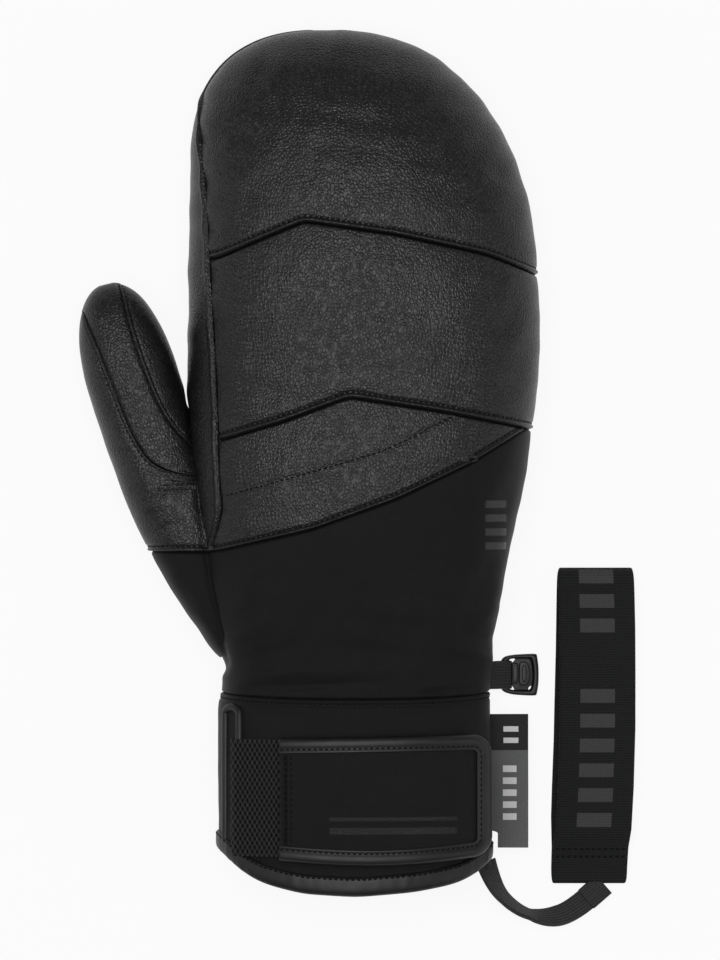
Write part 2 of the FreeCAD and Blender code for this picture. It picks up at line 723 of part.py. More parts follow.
def plan_box(start, along, length, width, z0, z1):
    """A box over a strip of that width that runs from start along a direction in plan."""
    along = Vector(along.x, along.y, 0).normalize()
    across = Vector(along.y, -along.x, 0) * (width / 2)
    ends = [start, start + along * length]
    outline = [ends[0] - across, ends[1] - across, ends[1] + across, ends[0] + across]
    return prism([(p.x, p.y) for p in outline], z0, z1)


loop_low = 0.0
loop_radius = wrist_loop_height / 2
loop_x0 = wrist_loop_x - wrist_loop_width / 2


def loop_solid(inset):
    """The wrist loop's side profile, inset all round, across its whole width."""
    radius = loop_radius - inset
    y0, y1 = wrist_loop_bottom + loop_radius, wrist_loop_top - loop_radius
    middle = loop_low + loop_radius
    solid = Part.makeBox(wrist_loop_width, y1 - y0, 2 * radius, Vector(loop_x0, y0, middle - radius))
    for y in (y0, y1):
        turn = Part.makeCylinder(radius, wrist_loop_width, Vector(loop_x0, y, middle), Vector(1, 0, 0))
        solid = solid.fuse(turn)
    return solid.removeSplitter()


save("wrist_loop", loop_solid(0.0).cut(loop_solid(wrist_loop_band)))
last_run = corners[-1] - corners[-2]
tack_low = corners[-1].z - tack_height / 2
tack = plan_box(corners[-1], last_run, tack_length, cord_width, tack_low, tack_low + tack_height)
tack_end = block(-wide, wide, far_y, wrist_loop_bottom + loop_radius, low, high)
save("leash_tack", largest(tack.common(tack_end).cut(loop_solid(0.0)).cut(leash)))

anchor_area = plan_box(corners[0], -first_run, anchor_length, cord_width, anchor_low, anchor_high)
anchor = layer_body(-hem_lip - anchor_thickness).cut(hem_outside)
save("leash_anchor", largest(anchor.common(anchor_area).cut(leash)))

# ---- places of the hinge lines, for whoever joins the pieces ----

strap_middle = (strap_top + strap_bottom) / 2
print("thumb hinge", thumb_axis_x, thumb_axis_y, thumb_axis_z)
print("tab hinge", hinge_x, strap_middle, round(top_z(hinge_x, strap_middle) + hinge_lift, 2))
print("clip hinge", clip_bar_x, clip_y, clip_z)
print("tongue hinge", round(tongue_x, 3), clip_y, clip_z)
print("label hinge", round(label_x, 3), (label_top + label_bottom) / 2, palm_seam_height)
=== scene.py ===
import bmesh
import bpy
import numpy as np
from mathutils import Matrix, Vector


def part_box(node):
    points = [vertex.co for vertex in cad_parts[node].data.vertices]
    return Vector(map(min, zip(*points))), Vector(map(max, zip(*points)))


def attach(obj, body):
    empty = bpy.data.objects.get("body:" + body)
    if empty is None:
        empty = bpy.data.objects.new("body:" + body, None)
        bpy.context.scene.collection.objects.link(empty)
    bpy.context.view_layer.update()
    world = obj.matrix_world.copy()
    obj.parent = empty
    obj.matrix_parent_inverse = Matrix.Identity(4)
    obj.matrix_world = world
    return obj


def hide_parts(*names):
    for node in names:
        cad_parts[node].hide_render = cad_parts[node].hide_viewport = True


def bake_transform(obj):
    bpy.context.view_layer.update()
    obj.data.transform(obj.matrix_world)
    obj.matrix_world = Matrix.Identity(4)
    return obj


# A right-hand ski mitten lying palm down: leather and softshell panels over padded layers,
# a wrist strap on an elastic, a glove clip, a side label and a wrist leash.
# Every size here is in millimetres, and mm turns it into the frame's metres.

mm = 0.001
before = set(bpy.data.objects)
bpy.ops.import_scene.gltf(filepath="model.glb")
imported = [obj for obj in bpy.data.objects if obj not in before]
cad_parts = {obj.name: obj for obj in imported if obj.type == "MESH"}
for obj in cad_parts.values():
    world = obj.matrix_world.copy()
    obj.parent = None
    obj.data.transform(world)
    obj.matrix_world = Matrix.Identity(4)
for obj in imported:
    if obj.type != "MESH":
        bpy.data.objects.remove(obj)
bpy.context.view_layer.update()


def nodeBox(name):
    # a node's lowest and highest corner in millimetres
    low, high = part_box(name)
    return np.array(low) / mm, np.array(high) / mm


# ---- camera: straight down from high above, so that the outline hardly spreads ----

cameraPlace = {"x": -2.0, "y": -20.0, "plane": 19.0, "viewHeight": 320.0, "lens": 290.0, "sensor": 36.0}


def makeCamera(place):
    # the distance is the one at which the view is viewHeight high at the plane
    data = bpy.data.cameras.new("mittenCamera")
    data.lens, data.sensor_width = place["lens"], place["sensor"]
    distance = place["viewHeight"] / 2 * place["lens"] / (place["sensor"] / 2)
    data.clip_start, data.clip_end = 0.1, 10.0
    camera = bpy.data.objects.new("mittenCamera", data)
    camera.location = (place["x"] * mm, place["y"] * mm, (place["plane"] + distance) * mm)
    bpy.context.scene.collection.objects.link(camera)
    bpy.context.scene.camera = camera


makeCamera(cameraPlace)

# ---- mesh helpers ----

weldGap = 2e-6  # points nearer than this, in metres, become one
panelWall = 1.1  # thickness of the leather and softshell panels
floorGap = 0.05  # nothing that is worked out in these surfaces goes lower than this


def smooth(value):
    # 3 t squared less 2 t cubed, with t held between 0 and 1
    value = np.clip(value, 0.0, 1.0)
    return value * value * (3 - 2 * value)


def bell(distance, width):
    # e to the minus square of distance over width
    return np.exp(-(distance / width) ** 2)


def unit(vectors):
    # vectors brought to length 1
    return vectors / np.maximum(np.linalg.norm(vectors, axis=-1, keepdims=True), 1e-9)


def spread(count, ends=0.6):
    # count places from 0 to 1, closer together near both ends
    t = np.linspace(0.0, 1.0, count)
    return t - ends * np.sin(2 * np.pi * t) / (2 * np.pi)


def gridNormals(points, sign=1.0):
    # cross product of the two grid directions at each point
    along = np.gradient(points, axis=0)
    across = np.gradient(points, axis=1)
    normals = sign * np.cross(along, across)
    lengths = np.linalg.norm(normals, axis=-1)
    flat = lengths < 1e-7
    normals[flat] = np.roll(normals, 1, axis=0)[flat]
    return unit(normals)


def lengthAlong(points, axis):
    # length walked along the grid from its first row or column
    steps = np.linalg.norm(np.diff(points, axis=axis), axis=-1)
    start = np.zeros_like(np.take(steps, [0], axis=axis))
    return np.cumsum(np.concatenate([start, steps], axis=axis), axis=axis)


def runAlong(line):
    # length walked along a line of points from its start
    return np.concatenate([[0], np.cumsum(np.linalg.norm(np.diff(line, axis=0), axis=1))])


def readAt(at, run, line):
    # the line's columns read at places along its run
    return np.stack([np.interp(at, run, line[:, k]) for k in range(line.shape[1])], axis=1)


def addObject(name, data):
    piece = bpy.data.objects.new(name, data)
    bpy.context.scene.collection.objects.link(piece)
    return piece


def buildMesh(name, points, corners, totals, uv=None, turnOut=False):
    # corners lists the points of every face in turn and totals how many each face has; uv is given per point
    mesh = bpy.data.meshes.new(name)
    mesh.vertices.add(len(points))
    mesh.vertices.foreach_set("co", (points * mm).astype(np.float32).ravel())
    mesh.loops.add(len(corners))
    mesh.loops.foreach_set("vertex_index", corners.astype(np.int32))
    mesh.polygons.add(len(totals))
    mesh.polygons.foreach_set("loop_start", (np.cumsum(totals) - totals).astype(np.int32))
    mesh.polygons.foreach_set("use_smooth", np.ones(len(totals), bool))
    mesh.update(calc_edges=True)
    mesh.validate()
    if uv is not None:
        layer = mesh.uv_layers.new(name="surfaceMap")
        kept = np.zeros(len(mesh.loops), np.int32)
        mesh.loops.foreach_get("vertex_index", kept)
        layer.data.foreach_set("uv", (uv.reshape(-1, 2)[kept] * mm).astype(np.float32).ravel())
    work = bmesh.new()
    work.from_mesh(mesh)
    bmesh.ops.remove_doubles(work, verts=work.verts, dist=weldGap)
    bmesh.ops.delete(work, geom=[v for v in work.verts if not v.link_faces], context="VERTS")
    if turnOut:
        bmesh.ops.recalc_face_normals(work, faces=work.faces)
    work.to_mesh(mesh)
    work.free()
    return addObject(name, mesh)


def gridMesh(name, points, outward, ringAcross=False, ringAlong=False, caps=False, keep=None, wall=0.0, uv=None):
    # a rows x columns grid of points as quads; outward tells which way its faces look,
    # keep drops quads, caps closes the first and last rings, and wall is a thickness put on behind
    rows, columns = points.shape[:2]
    lastRow = rows if ringAlong else rows - 1
    lastColumn = columns if ringAcross else columns - 1
    r, c = np.meshgrid(np.arange(lastRow), np.arange(lastColumn), indexing="ij")
    up, right = (r + 1) % rows, (c + 1) % columns
    quads = np.stack([r * columns + c, r * columns + right, up * columns + right, up * columns + c], axis=-1)
    quads = quads.reshape(-1, 4)
    if keep is not None:
        flags = keep.reshape(-1)
        quads = quads[flags[quads].any(axis=1)]
    flatPoints = points.reshape(-1, 3)
    diagonalA = flatPoints[quads[:, 2]] - flatPoints[quads[:, 0]]
    diagonalB = flatPoints[quads[:, 3]] - flatPoints[quads[:, 1]]
    facing = np.cross(diagonalA, diagonalB)
    wanted = outward.reshape(-1, 3)[quads[:, 0]]
    turned = (facing * wanted).sum() < 0
    if turned:
        quads = quads[:, ::-1]
    loops = [quads.reshape(-1)]
    totals = [np.full(len(quads), 4)]
    if caps:
        first, last = np.arange(columns), (rows - 1) * columns + np.arange(columns)
        loops += [first if turned else first[::-1], last[::-1] if turned else last]
        totals += [np.array([columns, columns])]
    piece = buildMesh(name, flatPoints, np.concatenate(loops), np.concatenate(totals), uv)
    if wall:
        addWall(piece, wall)
    return piece


def tubeMesh(name, points, middle, uv=None):
    # rings joined into a tube with closed ends, whose faces look away from its middle
    return gridMesh(name, points, points - middle, ringAcross=True, caps=True, uv=uv)


def addWall(piece, thickness):
    # gives an open sheet a thickness behind its faces and closes its rim
    solid = piece.modifiers.new("wall", "SOLIDIFY")
    solid.thickness, solid.offset, solid.use_rim = thickness * mm, -1.0, True
    settle(piece)


def settle(piece):
    # works the modifiers into the mesh
    bpy.context.view_layer.update()
    done = piece.evaluated_get(bpy.context.evaluated_depsgraph_get())
    mesh = bpy.data.meshes.new_from_object(done)
    piece.modifiers.clear()
    piece.data = mesh


def finishPiece(piece, finish, body=None, replaces=(), hinge=None):
    # gives a piece its material and hides the parts it replaces; without a hinge it rides with its body, and with one
    # its placement is only worked into its mesh
    piece.data.materials.clear()
    piece.data.materials.append(finishes[finish])
    if hinge:
        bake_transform(piece)
    else:
        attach(piece, body)
    if replaces:
        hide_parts(*replaces)
    return piece


def tableCurve(points, rounding):
    # a line through plan points whose corners are rounded: a straight-line table averaged with a bell
    x = np.arange(-110.0, 110.0, 0.25)
    y = np.interp(x, [p[0] for p in points], [p[1] for p in points])
    kernel = bell(np.arange(-12.0, 12.25, 0.25), rounding)
    padded = np.pad(y, len(kernel) // 2, mode="edge")
    y = np.convolve(padded, kernel / kernel.sum(), mode="valid")
    return lambda at: np.interp(at, x, y)


def alongLine(points, count):
    # count evenly spaced points on a line of straight runs
    points = np.asarray(points, float)
    reach = runAlong(points)
    return readAt(np.linspace(0, reach[-1], count), reach, points)


def roundedLoop(points, count, passes=2):
    # a closed outline of corners, cut back at each corner passes times and read at count even places
    points = np.asarray(points, float)
    for _ in range(passes):
        after = np.roll(points, -1, axis=0)
        points = np.stack([0.75 * points + 0.25 * after, 0.25 * points + 0.75 * after], axis=1)
        points = points.reshape(-1, points.shape[-1])
    return alongLine(np.vstack([points, points[:1]]), count + 1)[:-1]


# ---- stitches: small rounded lozenges of thread along a line on a surface ----

stitchShape = {"pitch": 1.85, "length": 1.25, "width": 0.62, "height": 0.36, "sides": 6, "look": 0.3}


def stitchSet(name, lines, body, hinge=None):
    # each line is (points, normals); a stitch is a spindle: rings of a small circle whose radius
    # falls to nothing at both ends, lying along the line with its middle raised
    shape = stitchShape
    rings = np.array([-0.5, -0.42, 0.0, 0.42, 0.5])
    widths = np.array([0.0, 0.8, 1.0, 0.8, 0.0])
    around = np.arange(shape["sides"]) / shape["sides"] * 2 * np.pi
    along = np.repeat(rings * shape["length"], shape["sides"])
    scale = np.repeat(widths, shape["sides"])
    sideways = np.tile(np.cos(around), len(rings)) * scale * shape["width"] / 2
    raised = np.tile(np.sin(around), len(rings)) * scale * shape["height"] / 2
    raised = raised + np.repeat(widths * 0.12 - 0.1, shape["sides"])
    bodies = []
    for points, normals in lines:
        reach = runAlong(points)
        count = max(int(reach[-1] / shape["pitch"]), 1)
        at = (np.arange(count) + 0.5) * reach[-1] / count
        place = readAt(at, reach, points)
        up = unit(readAt(at, reach, normals))
        forward = unit(readAt(at + shape["look"], reach, points) - readAt(at - shape["look"], reach, points))
        across = unit(np.cross(up, forward))
        bodies.append(
            place[:, None] + forward[:, None] * along[None, :, None]
            + across[:, None] * sideways[None, :, None] + up[:, None] * raised[None, :, None])
    points = np.concatenate(bodies)
    count, corners, sides = len(points), points.shape[1], shape["sides"]
    r, c = np.meshgrid(np.arange(len(rings) - 1), np.arange(sides), indexing="ij")
    beside = (c + 1) % sides
    quads = np.stack(
        [r * sides + c, (r + 1) * sides + c, (r + 1) * sides + beside, r * sides + beside], axis=-1)
    quads = (quads.reshape(1, -1, 4) + (np.arange(count) * corners)[:, None, None]).reshape(-1, 4)
    piece = buildMesh(name, points.reshape(-1, 3), quads.ravel(), np.full(len(quads), 4), turnOut=True)
    return finishPiece(piece, "thread", body, hinge=hinge)


# ---- shader helpers ----


class Socket:
    # an output that takes part in arithmetic: every operation adds one Math node of up to two values
    def __init__(self, tree, output):
        self.tree, self.output = tree, output

    def maths(self, operation, first, second=0.0):
        node = self.tree.nodes.new("ShaderNodeMath")
        node.operation = operation
        for place, value in enumerate((first, second)):
            connect(self.tree, node.inputs[place], value)
        return Socket(self.tree, node.outputs[0])

    def __add__(self, other): return self.maths("ADD", self, other)
    def __radd__(self, other): return self.maths("ADD", other, self)
    def __sub__(self, other): return self.maths("SUBTRACT", self, other)
    def __rsub__(self, other): return self.maths("SUBTRACT", other, self)
    def __mul__(self, other): return self.maths("MULTIPLY", self, other)
    def __rmul__(self, other): return self.maths("MULTIPLY", other, self)
    def __pow__(self, other): return self.maths("POWER", self, other)
    def __gt__(self, other): return self.maths("GREATER_THAN", self, other)
    def __lt__(self, other): return self.maths("LESS_THAN", self, other)
    def sine(self): return self.maths("SINE", self)
    def size(self): return self.maths("ABSOLUTE", self)
    def atLeast(self, other): return self.maths("MAXIMUM", self, other)
    def atMost(self, other): return self.maths("MINIMUM", self, other)


def connect(tree, target, value):
    if isinstance(value, Socket):
        tree.links.new(value.output, target)
    elif isinstance(value, tuple) and len(value) == 3 and target.type == "RGBA":
        target.default_value = (*value, 1.0)
    else:
        target.default_value = value


class Finish:
    # one material: a Principled shader whose constants are set on its own sockets
    def __init__(self, name, **constants):
        self.material = bpy.data.materials.new(name)
        self.material.use_nodes = True
        self.tree = self.material.node_tree
        self.shader = self.tree.nodes["Principled BSDF"]
        for socket, value in constants.items():
            connect(self.tree, self.shader.inputs[socket.replace("_", " ")], value)
        self.map = self.add("ShaderNodeTexCoord", output="Object")
        self.sheet = self.add("ShaderNodeTexCoord", output="UV")

    def add(self, kind, settings=(), inputs=(), output=0):
        # any node: its settings first, then the values or links of its sockets
        node = self.tree.nodes.new(kind)
        for name, value in dict(settings).items():
            setattr(node, name, value)
        for name, value in dict(inputs).items():
            connect(self.tree, node.inputs[name], value)
        return Socket(self.tree, node.outputs[output])

    def noise(self, scale, detail=2.0, roughness=0.5, place=None):
        return self.add("ShaderNodeTexNoise", {}, {
            "Vector": place or self.map, "Scale": scale, "Detail": detail, "Roughness": roughness})

    def cells(self, scale, feature="F1", place=None):
        return self.add("ShaderNodeTexVoronoi", {"feature": feature}, {
            "Vector": place or self.map, "Scale": scale}, "Distance")

    def axes(self, place=None):
        split = self.add("ShaderNodeSeparateXYZ", {}, {"Vector": place or self.map}).output.node
        return [Socket(self.tree, output) for output in split.outputs]

    def stretched(self, x=1.0, y=1.0, z=1.0):
        return self.add("ShaderNodeMapping", {}, {"Vector": self.map, "Scale": Vector((x, y, z))})

    def blendColour(self, share, first, second):
        node = self.tree.nodes.new("ShaderNodeMix")
        node.data_type = "RGBA"
        connect(self.tree, node.inputs[0], share)
        connect(self.tree, node.inputs[6], first)
        connect(self.tree, node.inputs[7], second)
        return Socket(self.tree, node.outputs[2])

    def close(self, colour, rough, height, distance, strength=1.0):
        # feeds the shader: its colour, its roughness, and a bump of that height and depth in millimetres
        bump = self.add("ShaderNodeBump", {}, {"Height": height, "Distance": distance * mm, "Strength": strength})
        for socket, value in (("Base Color", colour), ("Roughness", rough), ("Normal", bump)):
            connect(self.tree, self.shader.inputs[socket], value)
        return self.material


# ---- materials ----

finishes = {}

leather = {"grain": 1.05, "fine": 0.3, "dark": (0.004, 0.004, 0.0042), "light": (0.0102, 0.0102, 0.0105)}


def leatherFinish(name, grip=0.0):
    # pebble grain: rounded cells with dark valleys, fine pores and slow changes of shine
    made = Finish(name, Specular_IOR_Level=0.44, IOR=1.45)
    warp = made.noise(260.0, 2.0)
    pebble = made.cells(1000.0 / leather["grain"], "DISTANCE_TO_EDGE", made.stretched(1.0, 0.85, 1.0))
    pores = made.noise(1000.0 / leather["fine"], 2.0)
    lines = made.noise(90.0, 4.0, 0.6, made.stretched(1.0, 2.6, 1.0))
    slow = made.noise(28.0, 3.0)
    raised = pebble.atMost(0.32) * (1.6 + warp)
    height = raised + pores * 0.32 + lines * 1.1
    wear = (slow - 0.42).atLeast(0.0) * 2.2
    colour = made.blendColour((raised * 1.1 + wear * 0.5).atMost(1.0), leather["dark"], leather["light"])
    rough = 0.31 + pores * 0.16 - wear * 0.12 + grip * 0.18
    return made.close(colour, rough, height, 0.17 + 0.1 * grip, 1.0)


finishes["leather"] = leatherFinish("blackLeather")
finishes["gripLeather"] = leatherFinish("gripLeather", 1.0)

softshell = {"weave": 0.42, "dark": (0.0014, 0.0014, 0.0015), "light": (0.0068, 0.0068, 0.007)}


def softshellFinish(name, marks=None):
    # fine matte weave: two crossed threads with a light speckle; marks are plain bars of (x0, x1, y0, y1)
    made = Finish(name, Specular_IOR_Level=0.15, Sheen_Weight=0.02, Sheen_Roughness=0.5)
    x, y, z = made.axes()
    turns = 2 * np.pi / (softshell["weave"] * mm)
    weave = ((x + y * 0.35) * turns).sine() * ((y - x * 0.35) * turns).sine()
    speckle = made.noise(3400.0, 2.0)
    slow = made.noise(40.0, 3.0)
    tone = (speckle * 0.9 + slow * 0.45 - 0.25).atLeast(0.0)
    colour = made.blendColour(tone.atMost(1.0), softshell["dark"], softshell["light"])
    rough = 0.46 + speckle * 0.12
    if marks:
        printed = barMask(made, x, y, marks["bars"]) * (z > marks["above"] * mm)
        colour = made.blendColour(printed, colour, marks["colour"])
        rough = rough - printed * marks["shine"]
    return made.close(colour, rough, weave * 0.5 + speckle * 1.6, 0.1, 0.7)


def barMask(made, across, along, bars):
    # 1 inside any of the plain bars, each given as low and high limits on both axes in millimetres
    mask = None
    for x0, x1, y0, y1 in bars:
        inside = (across > x0 * mm) * (across < x1 * mm) * (along > y0 * mm) * (along < y1 * mm)
        mask = inside if mask is None else mask + inside
    return mask.atMost(1.0)


handBars = {"bars": [(39.5, 46.5, y, y + 2.4) for y in (-43.0, -38.4, -33.8, -29.2)],
            "colour": (0.03, 0.03, 0.031), "shine": 0.42, "above": 27.0}
tabBars = {"bars": [(-12.0, 30.0, -136.6, -134.4), (-12.0, 30.0, -132.2, -131.0)],
           "colour": (0.017, 0.017, 0.0175), "shine": 0.4, "above": 0.0}
finishes["softshell"] = softshellFinish("softshellCloth")
finishes["softshellMarked"] = softshellFinish("softshellClothPrinted", handBars)
finishes["softshellTab"] = softshellFinish("softshellClothTab", tabBars)


def bindingFinish(name):
    # smooth coated tape: low even shine with faint long creases
    made = Finish(name, Specular_IOR_Level=0.36)
    fine = made.noise(2600.0, 2.0)
    creases = made.noise(170.0, 3.0, 0.6)
    slow = made.noise(45.0, 2.0)
    colour = made.blendColour(slow, (0.003, 0.003, 0.0032), (0.008, 0.008, 0.0083))
    return made.close(colour, 0.4 + creases * 0.16, creases + fine * 0.18, 0.22, 0.55)


finishes["binding"] = bindingFinish("smoothBinding")


def threadFinish(name):
    # sewing thread: drawn-out fibre, nearly without shine; its near-black tones, darker than the leather, are partly
    # painted shade that stands in for the needle holes
    made = Finish(name, Specular_IOR_Level=0.12)
    fibre = made.noise(5200.0, 2.0, 0.5, made.stretched(1.0, 1.0, 3.0))
    # the thread's tones sit below the leather's, so each stitch row also carries painted shade for the needle holes
    colour = made.blendColour(fibre, (0.0008, 0.0008, 0.0009), (0.0035, 0.0035, 0.0037))
    return made.close(colour, 0.55 + fibre * 0.2, fibre, 0.05)


finishes["thread"] = threadFinish("darkThread")


def knitFinish(name, rib=0.85, tone=(0.006, 0.0062, 0.0068), high=(0.023, 0.0235, 0.025), bars=None, barTone=None):
    # knitted elastic: rows of small loops, as two sine waves of the piece's own map
    made = Finish(name, Specular_IOR_Level=0.15, Sheen_Weight=0.03, Sheen_Roughness=0.4)
    u, v, _ = made.axes(made.sheet)
    turns = 2 * np.pi / (rib * mm)
    rows = (v * turns).sine()
    loops = (u * turns * 1.35 + (v * turns * 0.5).sine() * 0.9).sine()
    fibre = made.noise(2600.0, 2.0)
    height = rows * 0.5 + rows * loops * 0.5
    tuft = (height * 0.35 + fibre * 0.9 - 0.1).atLeast(0.0).atMost(1.0)
    colour = made.blendColour(tuft, tone, high)
    if bars:
        printed = barMask(made, u, v, bars)
        colour = made.blendColour(printed * (0.72 + tuft * 0.28), colour, barTone)
    return made.close(colour, 0.72 + fibre * 0.16, height + fibre, 0.16, 0.8)


def loopBars():
    # plain bars in two groups along the top layer, measured down from the top fold
    rows = [2.0 + k * 8.2 for k in range(3)] + [42.0 + k * 8.3 for k in range(6)]
    return [(-5.8, 5.8, row, row + 4.6) for row in rows]


finishes["knit"] = knitFinish("knitElastic", bars=loopBars(), barTone=(0.06, 0.06, 0.062))
finishes["knitPlain"] = knitFinish("knitElasticPlain")


def meshFinish(name):
    # open diamond knit: pale threads, and near-black holes that are painted shade for the openings, from the same wave
    # that lifts the threads in the mesh
    made = Finish(name, Specular_IOR_Level=0.2)
    u, v, _ = made.axes(made.sheet)
    fibre = made.noise(2600.0, 2.0)
    net = diamondWave(u, v)
    pale = (net * 1.5 + fibre * 0.5 - 0.55).atLeast(0.0).atMost(1.0)
    colour = made.blendColour(pale, (0.0004, 0.0004, 0.0005), (0.03, 0.03, 0.031))
    return made.close(colour, 0.66 + fibre * 0.2, fibre + net * 0.6, 0.15, 0.8)


netPitch = {"across": 1.6, "along": 2.8}


def diamondWave(u, v):
    # 1 minus the root of two crossed sine waves: 1 on the threads and 0 in the holes
    a, b = np.pi / (netPitch["across"] * mm), np.pi / (netPitch["along"] * mm)
    return 1.0 - ((u * a + v * b).sine() * (u * a - v * b).sine()).size() ** 0.6


finishes["mesh"] = meshFinish("meshElastic")


def ribbedFinish(name):
    # woven tape: lengthwise cords crossed by close picks, on the piece's own map
    made = Finish(name, Specular_IOR_Level=0.4)
    u, v, _ = made.axes(made.sheet)
    cords = (u * (2 * np.pi / (0.95 * mm))).sine()
    picks = (v * (2 * np.pi / (0.7 * mm)) + (cords > 0.0) * np.pi).sine()
    fibre = made.noise(3000.0, 2.0)
    colour = made.blendColour((cords * 0.25 + picks * 0.25 + fibre * 0.6).atLeast(0.0).atMost(1.0),
                              (0.008, 0.008, 0.0084), (0.05, 0.05, 0.051))
    return made.close(colour, 0.5 + fibre * 0.2, cords * 0.8 + picks * 0.5, 0.16, 0.8)


finishes["webbing"] = ribbedFinish("ribbedWebbing")


def plasticFinish(name):
    # moulded plastic: faint spark-eroded skin and soft shine
    made = Finish(name, Specular_IOR_Level=0.3)
    skin = made.noise(3800.0, 2.0)
    slow = made.noise(120.0, 2.0)
    colour = made.blendColour(slow, (0.0025, 0.0025, 0.0027), (0.006, 0.006, 0.0063))
    return made.close(colour, 0.36 + skin * 0.14, skin, 0.03, 0.5)


finishes["plastic"] = plasticFinish("clipPlastic")


def tapeFinish(name, tuft, tone, high):
    # hook or loop tape: close round tufts
    made = Finish(name, Specular_IOR_Level=0.3, Sheen_Weight=0.1)
    dots = made.cells(1000.0 / tuft)
    fibre = made.noise(2800.0, 2.0)
    colour = made.blendColour((1.0 - dots * 1.1 + fibre * 0.2).atMost(1.0).atLeast(0.0), tone, high)
    return made.close(colour, 0.75 + fibre * 0.15, 1.0 - dots + fibre * 0.5, 0.3)


finishes["loopTape"] = tapeFinish("loopTape", 0.7, (0.006, 0.006, 0.0065), (0.024, 0.024, 0.025))
finishes["hookTape"] = tapeFinish("hookTape", 1.0, (0.004, 0.004, 0.0045), (0.03, 0.03, 0.031))


def fleeceFinish(name):
    # brushed fleece: soft clumps of pile
    made = Finish(name, Specular_IOR_Level=0.2, Sheen_Weight=0.25, Sheen_Roughness=0.6)
    clumps = made.noise(420.0, 4.0, 0.7)
    pile = made.noise(2400.0, 3.0, 0.7)
    tuft = (clumps * 0.7 + pile * 0.5 - 0.1).atMost(1.0)
    colour = made.blendColour(tuft, (0.011, 0.011, 0.012), (0.045, 0.045, 0.047))
    return made.close(colour, 0.85 + pile * 0.1, clumps + pile * 0.6, 0.5, 0.9)


finishes["fleece"] = fleeceFinish("fleeceLining")


def fillFinish(name, tone, high, scale):
    # inner layer: matted fibre or film
    made = Finish(name, Specular_IOR_Level=0.3)
    fibre = made.noise(scale, 4.0, 0.7)
    return made.close(made.blendColour(fibre, tone, high), 0.7 + fibre * 0.2, fibre, 0.3)


finishes["insulation"] = fillFinish("paddingFibre", (0.45, 0.45, 0.44), (0.68, 0.68, 0.66), 700.0)
# the film's dark tones are partly painted shade: where the film shows between the outer panels, it stands in for the
# shade in those gaps
finishes["membrane"] = fillFinish("membraneFilm", (0.012, 0.012, 0.013), (0.03, 0.03, 0.032), 1500.0)

labelMarks = {"headBars": [(46.0, 51.0, -104.2, -102.4), (46.0, 51.0, -108.0, -106.2)],
              "bodyBars": [(45.8, 50.4, -y - 2.2, -y) for y in (115.5, 119.5, 123.5, 127.5, 131.5)],
              "headEnd": -110.4}


def labelFinish(name):
    # woven label: fine satin threads, a dark head and a grey body with plain woven bars
    made = Finish(name, Specular_IOR_Level=0.35, Sheen_Weight=0.05)
    x, y, _ = made.axes()
    threads = (y * (2 * np.pi / (0.32 * mm))).sine() * 0.5 + (x * (2 * np.pi / (0.45 * mm))).sine() * 0.3
    fibre = made.noise(2600.0, 2.0)
    tuft = (threads * 0.3 + fibre * 0.8).atLeast(0.0).atMost(1.0)
    head = y > labelMarks["headEnd"] * mm
    dark = made.blendColour(tuft, (0.009, 0.009, 0.0095), (0.022, 0.022, 0.023))
    grey = made.blendColour(tuft, (0.075, 0.076, 0.078), (0.16, 0.161, 0.164))
    colour = made.blendColour(head, grey, dark)
    light = barMask(made, x, y, labelMarks["headBars"] + labelMarks["bodyBars"])
    colour = made.blendColour(light, colour, (0.62, 0.62, 0.62))
    return made.close(colour, 0.6 + fibre * 0.2, threads + fibre, 0.08, 0.8)


finishes["label"] = labelFinish("wovenLabel")
print("materials made:", len(finishes))

# ---- the leash first: a flat cord from the cuff's hem to the wrist loop ----

leash = {
    "width": 7.7, "thickness": 1.25, "length": 46.6, "clear": 0.7,
    "points": [(40.2, -148.0, 6.3), (42.3, -154.4, 5.2), (46.6, -160.7, 3.6), (53.2, -165.4, 2.3),
               (61.0, -167.0, 1.9), (68.8, -165.0, 2.1), (75.0, -159.6, 3.0)],
    "tilt": [(0.0, 30.0), (0.3, 62.0), (0.52, 70.0), (0.72, 30.0), (1.0, 4.0)],
}


def splineLine(points, samples=12):
    # the smooth line of a NURBS spline that has the route's points as its control points
    data = bpy.data.curves.new("leashRoute", "CURVE")
    data.dimensions, data.resolution_u = "3D", samples
    spline = data.splines.new("NURBS")
    spline.points.add(len(points) - 1)
    for place, point in zip(spline.points, points):
        place.co = (*[c * mm for c in point], 1.0)
    spline.order_u = 3
    spline.use_endpoint_u = True
    holder = addObject("leashRoute", data)
    bpy.context.view_layer.update()
    mesh = bpy.data.meshes.new_from_object(holder.evaluated_get(bpy.context.evaluated_depsgraph_get()))
    line = np.zeros(len(mesh.vertices) * 3)
    mesh.vertices.foreach_get("co", line)
    bpy.data.objects.remove(holder)
    bpy.data.meshes.remove(mesh)
    return line.reshape(-1, 3) / mm


def flatProfile(width, thickness, corner=0.35, across=9, turns=4):
    # a flat strip's closed section: straight faces joined by rounded edges
    half, rise = width / 2, thickness / 2
    corner = min(corner, rise)
    angles = np.linspace(0, np.pi / 2, turns)
    quarter = np.stack([half - corner + corner * np.cos(angles), rise - corner + corner * np.sin(angles)], axis=1)
    top = np.linspace(half - corner, -half + corner, across)[1:-1]
    upper = np.concatenate([quarter, np.stack([top, np.full(len(top), rise)], axis=1),
                            np.stack([-quarter[::-1, 0], quarter[::-1, 1]], axis=1)])
    return np.concatenate([upper, -upper])


def carried(path, profile, side, up):
    # each profile point (a, b) stands at the path's point + a * side + b * up
    return path[:, None] + profile[None, :, :1] * side[:, None] + profile[None, :, 1:] * up[:, None]


def makeStrip(name, path, profile, side, up):
    # a strip with closed ends: its section carried along the path, and its map across it and along the path
    points = carried(path, profile, side, up)
    uv = np.stack(np.broadcast_arrays(profile[None, :, 0], runAlong(path)[:, None]), axis=-1)
    return tubeMesh(name, points, path[:, None], uv)


